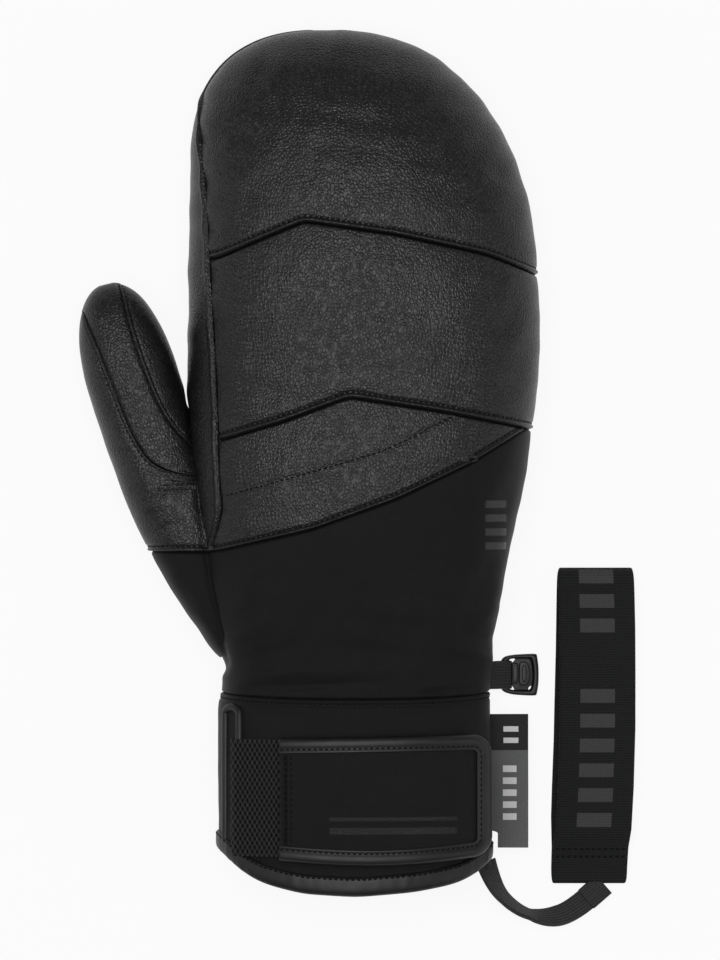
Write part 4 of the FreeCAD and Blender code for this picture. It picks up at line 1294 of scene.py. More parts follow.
def plateRings(outlinePoints, low, high, edge, turns=4):
    # a plate: its outline is drawn in by edge * (1 - cosine) as it turns over at its lower and upper rim
    middle = outlinePoints.mean(axis=0)
    tangent = np.roll(outlinePoints, -1, axis=0) - np.roll(outlinePoints, 1, axis=0)
    inward = unit(np.stack([-tangent[:, 1], tangent[:, 0]], axis=1))
    inward = inward * np.sign(((middle - outlinePoints) * inward).sum())
    angles = np.linspace(0, np.pi / 2, turns)
    draws = edge * (1 - np.sin(angles))
    heights = low + edge * (1 - np.cos(angles))
    draws = np.concatenate([draws, draws[::-1]])
    heights = np.concatenate([heights, (low + high) - heights[::-1]])
    rings = outlinePoints[None] + inward[None] * draws[:, None, None]
    z = np.broadcast_to(heights[:, None, None], rings.shape[:2] + (1,))
    return np.concatenate([rings, z], axis=-1)


def plate(name, outlinePoints, low, high, edge):
    # a closed plate of that outline between two heights
    rings = plateRings(outlinePoints, low, high, edge)
    return tubeMesh(name, rings, rings.mean(axis=(0, 1)))


patchBox = nodeBox("palm_grip_patch")
patch = {"half": patchBox[1][:2], "corner": 14.0, "edge": 0.45, "high": 1.15}


def cornerOutline(x0, x1, y0, y1, corner, count=160):
    # a rectangle's outline with its four corners as quarter circles
    angles = np.linspace(0, np.pi / 2, 12)
    turns = []
    for cx, cy, start in ((x1, y1, 0), (x0, y1, 1), (x0, y0, 2), (x1, y0, 3)):
        at = angles + start * np.pi / 2
        middleX = cx - corner * np.sign(cx - (x0 + x1) / 2)
        middleY = cy - corner * np.sign(cy - (y0 + y1) / 2)
        turns.append(np.stack([middleX + corner * np.cos(at), middleY + corner * np.sin(at)], axis=1))
    loop = np.vstack(turns)
    return alongLine(np.vstack([loop, loop[:1]]), count + 1)[:-1]


halfX, halfY = patch["half"]
gripOutline = cornerOutline(-halfX, halfX, -halfY, halfY, patch["corner"])
grip = plate("palmGripPatch", gripOutline, 0.0, patch["high"], patch["edge"])
finishPiece(grip, "gripLeather", "mitten", ["palm_grip_patch"])
print("hand shell made")

# ---- stitch lines of the hand ----

handStitches = [rowAt(surfaces[name], "low", seamShape["valleyPlace"]) for name in panelSpecs]


def planLine(surface, curve, x0, x1, count=160):
    # a line over a panel's own points that follows a plan curve, found on its nearest grid points
    points, normals = surface["points"], surface["normals"]
    x = np.linspace(x0, x1, count)
    target = np.stack([x, curve(x)], axis=1)
    flat, up = points.reshape(-1, 3), normals.reshape(-1, 3)
    gaps = ((flat[None, :, :2] - target[:, None]) ** 2).sum(-1)
    near = np.argpartition(gaps, 4, axis=1)[:, :4]
    weights = 1 / (np.take_along_axis(gaps, near, axis=1) + 1e-4)
    weights = (weights / weights.sum(axis=1, keepdims=True))[..., None]
    line = (flat[near] * weights).sum(axis=1)
    line[:, :2] = target
    return line, unit((up[near] * weights).sum(axis=1))


handStitches.append(planLine(surfaces["lowerBack"], trimLine, -46.5, 28.4))
stitchSet("handStitches", handStitches, "mitten")
print("hand stitches made")

# ---- inner layers: closed sleeves that follow the hand and the thumb at their own depths ----

layers = {  # depth under the outside, thickness, and how full a padded one is
    "membrane": {"depth": 2.0, "wall": 0.35, "finish": "membrane"},
    "padding": {"depth": 5.4, "wall": 2.6, "finish": "insulation", "padded": 0.6},
    "lining": {"depth": 7.0, "wall": 1.2, "finish": "fleece"},
}
sleeves = {  # layer, CAD node, first and last angle past the two sides, and where it ends at the wrist
    "membraneLayer": ("membrane", "membrane_insert", 0.0, 2 * np.pi, -93.0),
    "backPadding": ("padding", "back_insulation", -0.1, np.pi + 0.1, -92.0),
    "palmPadding": ("padding", "palm_insulation", np.pi + 0.12, 2 * np.pi - 0.12, -92.0),
    "backLining": ("lining", "back_lining", -0.06, np.pi + 0.06, -96.5),
    "palmLining": ("lining", "palm_lining", np.pi + 0.06, 2 * np.pi - 0.06, -96.5),
}


def addLayer(name, layer, nodes, base, inward, ring, keep, body=None, hinge=None):
    # one inner layer: a grid with its wall and its finish
    piece = gridMesh(name, base, inward, ringAcross=ring, keep=keep, wall=layer["wall"])
    finishPiece(piece, layer["finish"], body, nodes, hinge)


def sleeveDepth(depth, y):
    # the lining turns outwards at the wrist to meet the cuff's own lining
    if depth < 7.0:
        return depth + 0.0 * y
    return 7.0 - 3.5 * smooth((-89.0 - y) / 6.0)


for name, (kind, node, first, last, until) in sleeves.items():
    layer = layers[kind]
    full = last - first > 6.0
    columns, rows = (150, 90) if full else (80, 90)
    s = np.linspace(0, 1, columns, endpoint=not full)[None, :]
    t = np.linspace(0, 1, rows)[:, None]
    tip = hand["reach"] - layer["depth"] - 0.4
    y = np.interp(until + 0 * t, tipPlaces, tipLengths)
    y = np.interp(y + (np.interp(tip, tipPlaces, tipLengths) - y) * t, tipLengths, tipPlaces)
    y = until + (y - y[0]) * (tip - until) / (y[-1] - y[0]) + 0 * s
    # the table of angles ends at 270 degrees, so a layer that would run further round stops there
    angle = np.interp(first + (last - first) * s, warpAngles, warpAngles) + 0 * y
    base = handSurface(angle, y, sleeveDepth(layer["depth"], y))
    keep = thumbDepth(base) < (1.5 if kind == "membrane" else 5.5)
    addLayer(name, layer, [node], base, gridNormals(base, -1.0), full, keep, body="mitten")

thumbSleeves = {  # layer, CAD nodes, and how far it runs on into the hand
    "thumbMembrane": ("membrane", ["thumb_membrane"], 3.0),
    "thumbPadding": ("padding", ["thumb_insulation", "thumb_root_padding"], 5.0),
    "thumbLining": ("lining", ["thumb_lining"], 6.6),
}
for name, (kind, nodes, within) in thumbSleeves.items():
    layer = layers[kind]
    angle = np.linspace(0, 2 * np.pi, 80, endpoint=False)[None, :]
    share = 0.12 + (0.9995 - 0.12) * (1 - (1 - np.linspace(0, 1, 80)[:, None]) ** 1.6)
    base = thumbSurface(share, angle, layer["depth"])
    inward = gridNormals(base, 1.0)
    axis = np.concatenate([thumbCentre(share + 0 * angle)[0], np.full(base.shape[:2] + (1,), thumb["z"])], axis=-1)
    inward = inward * np.sign((inward * (axis - base)).sum())
    addLayer(name, layer, nodes, base, inward, True, handDepth(base) < within, hinge=thumb["hinge"])
print("inner layers made")

# ---- cuff ----

cuff = {
    "hemTurn": 1.4, "wristStitch": 1.4, "hemStitch": 5.6, "inside": 12.0,
    "lining": {"depth": 3.2, "wall": 1.3, "fromHem": 3.0, "until": -93.5, "pinch": 0.25, "pinchAt": -128.0,
               "pinchWidth": 9.0},
    "elastic": {"depth": 4.4, "wall": 0.9, "from": -100.0, "length": 7.0, "gather": 0.22, "gathers": 60},
}


def hemAt(angle, shift=0.0):
    # y of the hem line at each section angle, found by repeating
    y = np.full(np.shape(angle), -150.0)
    for _ in range(12):
        y = hemLine(handSurface(angle, y)[..., 0]) + shift
    return y


def cuffSeams(points, away):
    # the stitch furrow beside the wrist seam
    return -0.3 * bell(away["high"] - cuff["wristStitch"], 0.5)


cuffFolds = [(-40, -97, -20, -99, 2.0, 0.4), (10, -98, 38, -96.5, 2.2, 0.35), (-20, -100, 6, -100.5, 2.4, -0.35)]


def cuffGrid(first, last, rows, columns, warp):
    # rows run from just above the hem to the wrist seam
    s, t = spread(columns, 0.3)[None, :], spread(rows, 0.5)[:, None]
    y = np.full((rows, columns), -120.0)
    for _ in range(10):
        angle = between(first(y), last(y), s, *warp)
        low, high = hemLine(handSurface(angle, y)[..., 0]) + cuff["hemTurn"], wristLine(angle)
        y = low + (high - low) * t
    return handSurface(angle, y)


base = cuffGrid(littleSide, thumbSide, 110, 220, (warpAngles, warpLengths))
addPanel("cuffBack", base, ["cuff_back_panel"], ("none", "low", "plain", "plain"), 0.15, 0.12, cuffFolds, cuffSeams,
         "softshell")
base = cuffGrid(thumbSide, palmLast, 90, 140, (palmWarp, palmLengths))
addPanel("cuffPalm", base, ["cuff_palm_panel"], ("none", "low", "plain", "plain"), 0.0, 0.0, (), cuffSeams,
         "softshell")

ring = np.linspace(0, 2 * np.pi, 220, endpoint=False)[None, :]
t = np.linspace(0, 1, 60)[:, None]
spec = cuff["lining"]
low = hemAt(ring, spec["fromHem"])
y = low + (spec["until"] - low) * t
base = handSurface(ring, y, spec["depth"] + spec["pinch"] * bell(y - spec["pinchAt"], spec["pinchWidth"]))
piece = gridMesh("cuffLining", base, handSurface(ring, y, cuff["inside"]) - base, ringAcross=True, wall=spec["wall"])
finishPiece(piece, "fleece", "mitten", ["cuff_lining"])

t = np.linspace(0, 1, 14)[:, None]
spec = cuff["elastic"]
y = spec["from"] + spec["length"] * t + 0 * ring
base = handSurface(ring, y, spec["depth"] + spec["gather"] * np.sin(ring * spec["gathers"]) * np.sin(np.pi * t))
piece = gridMesh("wristElastic", base, handSurface(ring, y, cuff["inside"]) - base, ringAcross=True, wall=spec["wall"])
finishPiece(piece, "knitPlain", "mitten", ["wrist_elastic"])

# the hem binding: a folded band whose section is a U round the panels and the lining, carried along the hem
hemSection = [(6.5, 0.15), (6.45, -0.45), (6.1, -0.85), (5.4, -0.98), (3.2, -1.08), (1.6, -1.0), (0.55, -0.62),
              (0.05, 0.2), (-0.1, 1.4), (0.05, 2.7), (0.6, 3.6), (1.7, 4.05), (4.2, 4.1), (6.2, 4.05), (6.5, 3.7),
              (6.1, 3.35), (2.6, 3.3), (1.6, 2.6), (1.4, 1.5), (1.7, 0.5), (2.6, 0.1), (5.4, 0.1)]
section = roundedLoop(hemSection, 44, 2)
ringCount = 300
evenly = np.linspace(warpLengths[0], warpLengths[-1], ringCount, endpoint=False)
angle = np.interp(evenly, warpLengths, warpAngles)[:, None]
hemY = hemAt(angle)
ruck = 0.1 * np.sin(angle * 47) * np.sin(angle * 13 + 1.0)
pointsY = hemY + section[None, :, 0]
hemPoints = handSurface(angle, pointsY, section[None, :, 1] + ruck * (section[None, :, 1] < 0))
hemCentre = handSurface(angle + 0 * pointsY, hemY + 3.0 + 0 * pointsY, 1.6)
piece = gridMesh("hemBinding", hemPoints, hemPoints - hemCentre, ringAcross=True, ringAlong=True)
finishPiece(piece, "binding", "mitten", ["cuff_hem_binding"])

hemEnds = np.interp([-0.3, np.pi + 0.3], warpAngles, warpLengths)  # the stitches stop a little under each side
angle = np.interp(np.linspace(hemEnds[0], hemEnds[1], 260), warpLengths, warpAngles)
hemStitchY = hemAt(angle) + cuff["hemStitch"]
line = handSurface(angle, hemStitchY, -0.95)
tips = unit(line - handSurface(angle, hemStitchY, 4.0))
cuffStitches = [(line, tips)]
cuffStitches += [rowAt(surfaces[name], "high", cuff["wristStitch"]) for name in ("cuffBack", "cuffPalm")]
stitchSet("cuffStitches", cuffStitches, "mitten")
print("cuff made")

# ---- wrist strap: elastic through a bound slot, tab with its binding, hook and loop patches ----

strap = {
    "top": -105.1, "topRise": 1.2, "bottom": -145.4, "bow": 2.2, "taper": 1.6, "slotX": -46.2,
    "tabLeft": -28.6, "tabRight": 41.8, "corner": 7.0, "elasticEnd": -23.0, "elastic": 1.7, "band": 5.1,
    "bandStitch": (0.74, -5.74),
    "hinge": ("mitten", "strap_tab", (-0.033, -0.12675, 0.048), (-0.028, -0.12675, 0.048)),
}


def overCuff(x, y, depth):
    # a point of a layer that lies over the cuff's back, depth under the surface (negative is above it)
    x, y, depth = np.broadcast_arrays(x, y, np.asarray(depth, float))
    return np.stack([x, y, backZ(x, y, depth)], axis=-1)


def tabEdges(x, inset):
    # the tab's upper and lower edge in plan; the lower one bows towards the hem
    share = (x - strap["tabLeft"]) / (strap["tabRight"] - strap["tabLeft"])
    upper = strap["top"] + strap["topRise"] * share - inset
    bow = strap["bow"] * np.sin(np.pi * np.clip(share, 0.0, 1.0))
    return upper, strap["bottom"] - bow + strap["taper"] * share + inset


def tabOutline(inset):
    # open outline of the tab from its root at the top, round both corners, back to the root at the bottom
    right, corner = strap["tabRight"] - inset, max(strap["corner"] - inset, 0.8)
    run = np.linspace(strap["tabLeft"], right - corner, 40)
    top, bottom = tabEdges(run, inset)
    angles = np.linspace(np.pi / 2, 0, 14)[1:]
    upper = np.stack([run[-1] + corner * np.cos(angles), top[-1] - corner + corner * np.sin(angles)], axis=1)
    lower = np.stack([run[-1] + corner * np.cos(angles), bottom[-1] + corner - corner * np.sin(angles)], axis=1)
    return np.vstack([np.stack([run, top], axis=1), upper, lower[::-1], np.stack([run, bottom], axis=1)[::-1]])


def evenPair(count, fine=1200):
    # the tab's edge and a line further in, matched point by point and spaced evenly along the edge
    outerRun, innerRun = tabOutline(0.0), tabOutline(strap["band"])
    share, at = np.linspace(0, 1, len(outerRun)), np.linspace(0, 1, fine)
    outer, inner = readAt(at, share, outerRun), readAt(at, share, innerRun)
    run = runAlong(outer)
    at = np.linspace(0, run[-1], count)
    return readAt(at, run, outer), readAt(at, run, inner)


bandOuter, bandInner = evenPair(300)
# binding section: (share of the band's width inwards, depth)
bandSection = [(1.0, -5.2), (1.0, -5.85), (0.94, -6.1), (0.85, -6.05), (0.74, -5.6), (0.62, -6.05), (0.34, -6.35),
               (0.12, -6.0), (0.02, -5.3), (-0.02, -4.3), (0.02, -3.2), (0.12, -2.65), (0.3, -2.5), (0.7, -2.5),
               (0.95, -2.6), (1.0, -3.0), (0.9, -3.6)]
bandSection = roundedLoop(bandSection, 44, 2)
plan = bandOuter[:, None] + (bandInner - bandOuter)[:, None] * bandSection[None, :, :1]
bandPoints = overCuff(plan[..., 0], plan[..., 1], bandSection[None, :, 1] + 0 * plan[..., 0])
centre = 0.5 * (bandOuter + bandInner)
bandMiddle = overCuff(centre[:, None, 0] + 0 * plan[..., 0], centre[:, None, 1] + 0 * plan[..., 0], -4.3)
piece = tubeMesh("strapBinding", bandPoints, bandMiddle)
finishPiece(piece, "binding", "strap_tab", ["strap_binding"])


def tabSheet(x0, inset, depthLow, depthHigh, rows, columns, puff=0.0):
    # a sheet over the tab's area as a top and a bottom grid: rows run across it and columns from the root
    # to the free end, whose two corners are cut round; the top swells by puff away from the edges
    x1 = strap["tabRight"] - inset
    u, v = spread(columns, 0.5)[None, :], spread(rows, 0.5)[:, None]
    x = x0 + (x1 - x0) * u
    y1, low = tabEdges(x, inset)
    corner = max(strap["corner"] - inset, 1.5)
    into = np.clip(corner - (x1 - x), 0.0, corner)
    cut = corner - np.sqrt(np.maximum(corner**2 - into**2, 0.0))
    y = (low + cut) + (y1 - low - 2 * cut) * v
    room = (1 - np.exp(-np.minimum(np.minimum(x - x0, x1 - x), np.minimum(y - low, y1 - y)) / 5.0))
    return x, overCuff(x, y, depthHigh - puff * room), overCuff(x, y, depthLow)


def closedSheet(name, top, bottom, uv=None):
    # a top grid and a bottom grid joined round their rim; both sides take the same map
    middle = 0.5 * (top + bottom)
    points = np.concatenate([top, bottom[:, ::-1]], axis=1)
    outward = np.concatenate([top - middle, (bottom - middle)[:, ::-1]], axis=1)
    if uv is not None:
        uv = np.concatenate([uv, uv[:, ::-1]], axis=1)
    return gridMesh(name, points, outward, ringAcross=True, caps=True, uv=uv)


x, top, bottom = tabSheet(strap["tabLeft"] + 0.2, 1.0, -3.2, -5.3, 70, 130, puff=0.35)
rise = -0.3 * bell(x - strap["tabLeft"] - 2.0, 0.55) + 0.25 * bell(x - strap["tabLeft"] - 0.8, 0.6)
top = top + np.stack([0 * rise, 0 * rise, rise], axis=-1)
face = closedSheet("strapFace", top, bottom)
finishPiece(face, "softshellTab", "strap_tab", ["strap_face"])

_, top, bottom = tabSheet(strap["tabLeft"] + 7.0, 6.5, -1.8, -3.1, 40, 60)
hook = closedSheet("strapHookPatch", top, bottom)
finishPiece(hook, "hookTape", "strap_tab", ["strap_hook_patch"])
_, top, bottom = tabSheet(strap["tabLeft"] + 7.0, 4.0, 0.3, -1.5, 50, 80)
loopTape = closedSheet("strapLoopPatch", top, bottom)
finishPiece(loopTape, "loopTape", "mitten", ["strap_loop_patch"])

# the elastic: open diamond knit whose threads stand above hollows that its finish paints near-black as shade
elastic = {"rows": 190, "columns": 130, "relief": 0.6}
v = np.linspace(0, 1, elastic["rows"])[:, None]
u = np.linspace(0, 1, elastic["columns"])[None, :]
x = strap["slotX"] - 0.2 + (strap["elasticEnd"] - strap["slotX"] + 0.2) * u
y = strap["bottom"] + 1.0 + (strap["top"] - strap["bottom"] - 1.6) * v + 0 * u
net = 1 - np.abs(np.sin(np.pi * (x / netPitch["across"] + y / netPitch["along"]))
                 * np.sin(np.pi * (x / netPitch["across"] - y / netPitch["along"]))) ** 0.6
border = smooth(np.minimum(y - y[0], y[-1] - y) / 1.2)
thread = elastic["relief"] * (net * border + (1 - border) * 0.6)
climb = smooth((x + 34.0) / 8.0)
dive = smooth((strap["slotX"] + 2.2 - x) / 2.2)
depth = -(strap["elastic"] - elastic["relief"]) - climb * 0.55 + dive * 2.6 - thread * (1 - dive)
top = overCuff(x, y, depth)
bottom = overCuff(x, y, -0.1 - climb + dive * 3.4)
piece = closedSheet("strapElastic", top, bottom, np.stack([x + 0 * y, y + 0 * x], axis=-1))
finishPiece(piece, "mesh", replaces=["strap_elastic"], hinge=strap["hinge"])

# stitch rows of the tab
tabStitches = []
inner = bandOuter + (bandInner - bandOuter) * strap["bandStitch"][0]
line = overCuff(inner[:, 0], inner[:, 1], strap["bandStitch"][1])
tabStitches.append((line, unit(line - overCuff(inner[:, 0], inner[:, 1], 0.0))))
for step in (2.0, 4.0):
    yy = np.linspace(strap["bottom"] + 1.8, strap["top"] - 1.6, 60)
    line = overCuff(strap["tabLeft"] + step + 0 * yy, yy, -5.45)
    tabStitches.append((line, np.tile([0.0, 0.0, 1.0], (60, 1))))
stitchSet("strapStitches", tabStitches, "strap_tab")

# the slot's lip: a soft half-round cord that runs up the thumb side, turns and comes back to the strap
lip = {"left": -46.6, "right": -41.9, "turnY": -97.6, "bottom": -142.8, "end": -108.5, "half": 1.35, "high": 1.3,
       "depth": 0.1, "step": 0.3, "count": 150}
turn = np.linspace(np.pi, 0, 24)
radius = (lip["right"] - lip["left"]) / 2
lipTurn = np.stack([lip["left"] + radius + radius * np.cos(turn), lip["turnY"] + radius * np.sin(turn)], axis=1)
lipPlan = alongLine(np.vstack([[(lip["left"], lip["bottom"])], [(lip["left"], -120.0)], lipTurn,
                               [(lip["right"], lip["end"])]]), lip["count"])
overLip = lambda dx, dy: overCuff(lipPlan[:, 0] + dx, lipPlan[:, 1] + dy, lip["depth"])
lipLine = overLip(0.0, 0.0)
step = lip["step"]
lipUp = unit(np.cross(overLip(step, 0.0) - overLip(-step, 0.0), overLip(0.0, step) - overLip(0.0, -step)))
tangent = unit(np.gradient(lipLine, axis=0))
lipSide = unit(np.cross(tangent, lipUp))
around = np.linspace(0, 2 * np.pi, 18, endpoint=False)
lipHeight = lip["high"] * signedPower(np.sin(around), 0.9) * np.where(np.sin(around) > 0, 1.0, 0.5)
lipSection = np.stack([lip["half"] * signedPower(np.cos(around), 0.85), lipHeight], axis=1)
taper = smooth(np.linspace(0, 1, lip["count"]) / 0.06)[:, None, None] * 0.6 + 0.4
lipOffset = lipSection[None, :, :1] * lipSide[:, None] + lipSection[None, :, 1:] * lipUp[:, None]
lipPoints = lipLine[:, None] + lipOffset * taper
piece = tubeMesh("slotBinding", lipPoints, lipLine[:, None])
finishPiece(piece, "binding", "mitten", ["slot_binding"])
print("strap made")

# ---- glove clip: webbing loop, frame with its bar, and the sprung tongue ----

clip = {
    "barX": 47.2, "y": -85.3, "z": 2.5, "barHalf": 5.6, "barRadius": 0.9,
    "webbing": {"width": 9.4, "thickness": 0.85, "ring": 1.35, "reach": 9.9, "sewn": 5.6},
}


def ringPlate(name, outer, inner, section):
    # a flat ring: each section point is (share of the way from the outer to the inner outline, height)
    plan = outer[:, None] + (inner - outer)[:, None] * section[None, :, :1]
    points = np.concatenate([plan, np.broadcast_to(section[None, :, 1:], plan.shape[:2] + (1,))], axis=-1)
    middle = np.concatenate([0.5 * (outer + inner), np.full((len(outer), 1), section[:, 1].mean())], axis=1)
    return gridMesh(name, points, points - middle[:, None], ringAcross=True, ringAlong=True)


def joinPieces(name, pieces):
    # puts several finished meshes into one piece
    work = bmesh.new()
    for piece in pieces:
        work.from_mesh(piece.data)
    mesh = bpy.data.meshes.new(name)
    work.to_mesh(mesh)
    work.free()
    for piece in pieces:
        bpy.data.objects.remove(piece)
    return addObject(name, mesh)


def rod(name, start, end, radius, sides=16):
    # a straight round bar with closed ends
    start, end = np.array(start, float), np.array(end, float)
    forward = unit(end - start)
    side = unit(np.cross(forward, [0.3, 0.2, 1.0]))
    up = np.cross(side, forward)
    around = np.linspace(0, 2 * np.pi, sides, endpoint=False)
    path = start + (end - start) * np.array([0.0, 0.5, 1.0])[:, None]
    circle = radius * (np.cos(around)[None, :, None] * side + np.sin(around)[None, :, None] * up)
    points = path[:, None] + circle
    return gridMesh(name, points, np.broadcast_to(circle, points.shape), ringAcross=True, caps=True)


def smallPad(name, x0, x1, y0, y1, z0, z1, edge, corner=0.6):
    # a small moulded bar with rounded corners and rims
    return plate(name, cornerOutline(x0, x1, y0, y1, corner, 48), z0, z1, edge)


frameOuter = np.array([(45.0, -80.8), (46.3, -79.2), (49.0, -78.6), (53.0, -78.35), (57.2, -78.2), (57.45, -79.0),
                       (57.9, -82.0), (58.0, -85.3), (57.9, -88.6), (57.4, -91.6), (57.1, -92.4), (53.0, -92.3),
                       (49.0, -92.0), (46.3, -91.2), (45.0, -89.8), (44.9, -85.3)])
frameInner = np.array([(47.8, -81.2), (48.2, -80.1), (50.0, -79.9), (53.0, -79.9), (54.8, -80.0), (55.2, -80.4),
                       (55.7, -82.5), (55.9, -85.3), (55.7, -88.1), (55.2, -89.9), (54.8, -90.3), (53.0, -90.4),
                       (50.0, -90.4), (48.2, -90.2), (47.8, -89.2), (47.7, -85.3)])
frameSection = roundedLoop([(0.02, 1.0), (0.98, 1.0), (1.0, 1.7), (0.92, 3.5), (0.72, 4.0), (0.3, 4.0), (0.05, 3.6),
                            (0.0, 2.2)], 28)


def matchedLoops(outer, inner, count):
    # both outlines rounded and read at the same shares of their length, so that their points stay opposite
    for _ in range(2):
        pair = np.concatenate([outer, inner], axis=1)
        after = np.roll(pair, -1, axis=0)
        pair = np.stack([0.78 * pair + 0.22 * after, 0.22 * pair + 0.78 * after], axis=1).reshape(-1, 4)
        outer, inner = pair[:, :2], pair[:, 2:]
    closed = np.vstack([pair, pair[:1]])
    run = runAlong(closed[:, :2])
    pair = readAt(np.linspace(0, run[-1], count, endpoint=False), run, closed)
    return pair[:, :2], pair[:, 2:]


outer, inner = matchedLoops(frameOuter, frameInner, 150)
framePieces = [ringPlate("clipRing", outer, inner, frameSection)]
backOutline = [(48.4, -81.5), (49.4, -81.0), (49.8, -80.6), (50.1, -79.5), (56.2, -79.5), (56.2, -89.0),
               (55.2, -89.1), (54.6, -89.5), (54.4, -90.8), (50.0, -90.8), (49.6, -90.0), (49.2, -89.2),
               (48.4, -88.9)]
framePieces.append(plate("clipBack", roundedLoop(backOutline, 90, 1), 0.7, 1.25, 0.2))
framePieces.append(smallPad("clipPad", 48.9, 51.0, -88.3, -81.4, 1.05, 3.7, 0.35))
framePieces.append(smallPad("clipPadTop", 49.3, 50.9, -87.6, -82.1, 3.4, 3.95, 0.2, corner=0.3))
barEnds = [(clip["barX"], clip["y"] + way * clip["barHalf"], clip["z"]) for way in (-1, 1)]
framePieces.append(rod("clipBar", *barEnds, clip["barRadius"]))
piece = joinPieces("clipFrame", framePieces)
finishPiece(piece, "plastic", "clip_hook", ["clip_frame"])

tongueOutline = roundedLoop([(51.4, -81.0), (52.6, -80.85), (53.7, -80.9), (54.5, -81.9), (54.95, -83.6),
                             (55.1, -85.2), (54.95, -86.8), (54.5, -88.2), (53.7, -88.9), (52.6, -88.95),
                             (51.4, -88.8), (51.35, -85.0)], 90)
tonguePieces = [plate("tonguePlate", tongueOutline, 2.3, 3.5, 0.35)]
padOutline = roundedLoop([(52.4, -82.0), (53.4, -82.0), (53.9, -83.4), (54.05, -85.0), (53.9, -86.6), (53.4, -87.8),
                          (52.4, -87.8), (52.3, -85.0)], 60)
tonguePieces.append(plate("tonguePad", padOutline, 3.2, 3.85, 0.3))
piece = joinPieces("clipTongue", tonguePieces)
finishPiece(piece, "plastic", "clip_tongue", ["clip_tongue"])


def clipWebbingPath():
    # in the vertical plane: down from the hand's side, round the bar and back under itself
    spec = clip["webbing"]
    bar = np.array([clip["barX"], clip["z"]])
    seam = np.array([39.9, clip["z"] + 6.5])
    down = unit(bar - seam)
    square = np.array([-down[1], down[0]])
    square = square * np.sign(square[1])
    ring = spec["ring"]
    start = bar - down * spec["reach"] + square * ring
    first = np.arctan2(square[1], square[0])
    turn = np.linspace(first, first - np.pi, 22)
    arc = bar + ring * np.stack([np.cos(turn), np.sin(turn)], axis=1)
    sewn = bar - down * spec["sewn"] + square * (ring - spec["thickness"] - 0.15)
    under = bar - down * 2.6 - square * (ring * 0.55)
    flat = alongLine(roundedPath(np.vstack([[start], arc, [under], [sewn]]), 2), 110)
    return np.stack([flat[:, 0], np.full(len(flat), clip["y"]), flat[:, 1]], axis=1)


path = clipWebbingPath()
tangent = unit(np.gradient(path, axis=0))
side = np.tile([0.0, 1.0, 0.0], (len(path), 1))
profile = flatProfile(clip["webbing"]["width"], clip["webbing"]["thickness"], 0.4)
piece = makeStrip("clipWebbing", path, profile, side, unit(np.cross(tangent, side)))
finishPiece(piece, "webbing", "mitten", ["clip_webbing"])
print("clip made")

# ---- side label: a flat woven strip sewn into the cuff's little finger side ----

labelBox = nodeBox("side_label")
label = {"x0": 40.2, "x1": float(labelBox[1][0]), "y0": float(labelBox[0][1]), "y1": float(labelBox[1][1]),
         "z": 9.0, "thickness": 0.62, "notch": 3.0, "notchHigh": 6.5, "curl": 0.9,
         "hinge": ("mitten", "side_label", (0.0403, -0.12065, 0.009), (0.0416, -0.12065, 0.009))}
u, v = spread(46, 0.4)[None, :], spread(110, 0.4)[:, None]
y = label["y0"] + (label["y1"] - label["y0"]) * v
cutIn = label["x0"] + (label["notch"] + 0.9) * smooth((label["y0"] + label["notchHigh"] - y) / 1.6)
x = cutIn + (label["x1"] - cutIn) * u + 0 * y
wave = (label["curl"] * np.sin((y - label["y0"]) / 44.7 * np.pi * 1.4 + 0.5) * ((x - label["x0"]) / 14.0) ** 2
        + 0.25 * np.sin(y * 0.35) * ((x - label["x0"]) / 14.0))
z = label["z"] + wave
half = label["thickness"] / 2
top = np.stack([x, y + 0 * x, z + half], axis=-1)
bottom = np.stack([x, y + 0 * x, z - half], axis=-1)
piece = closedSheet("sideLabel", top, bottom)
finishPiece(piece, "label", replaces=["side_label"], hinge=label["hinge"])

# ---- wrist leash: anchor on the hem, tack and the elastic wrist loop ----

anchor = {"width": 6.6, "thickness": 1.5, "corner": 0.5}
tack = {"width": 8.2, "thickness": 2.4, "corner": 0.8, "from": -1.6, "to": 6.4, "z": 3.0, "rings": 14}
anchorPath = np.array([(40.6, -149.0, 5.9), (40.9, -146.6, 6.3), (40.8, -143.4, 6.6), (40.4, -139.6, 6.8)])
anchorPath = alongLine(roundedPath(anchorPath, 2), 26)
tangent = unit(np.gradient(anchorPath, axis=0))
side = np.tile(unit(np.array([0.12, 0.1, 1.0])), (len(anchorPath), 1))
side = unit(side - tangent * (side * tangent).sum(-1, keepdims=True))
profile = flatProfile(anchor["width"], anchor["thickness"], anchor["corner"])
piece = makeStrip("leashAnchor", anchorPath, profile, side, unit(np.cross(side, tangent)))
finishPiece(piece, "webbing", "mitten", ["leash_anchor"])

wristLoop = {
    "width": 25.4, "thickness": 1.5, "top": -49.3, "bottom": -155.3, "fold": 3.5, "pinch": 0.85, "middle": 4.3,
    "pinchZ": 3.0, "pinchFrom": -147.0,
    "topLayer": [(-156, 74.8), (-150, 74.9), (-143, 75.3), (-137, 76.2), (-123, 77.0), (-103, 77.6), (-85, 77.6),
                 (-70, 77.5), (-57, 77.2), (-49, 76.9)],
    "backLayer": [(-156, 74.8), (-150, 74.8), (-143, 75.0), (-133, 74.8), (-123, 75.1), (-107, 75.7), (-97, 75.9),
                  (-77, 76.4), (-57, 76.7), (-49, 76.9)],
}


def loopShape(spec, y):
    # half the loop's height and the height of its middle at y: pinched at the leash and open further up
    opening = smooth((y - spec["pinchFrom"]) / 12.0)
    return (spec["pinch"] + (spec["fold"] - spec["pinch"]) * opening,
            spec["pinchZ"] + (spec["middle"] - spec["pinchZ"]) * opening)


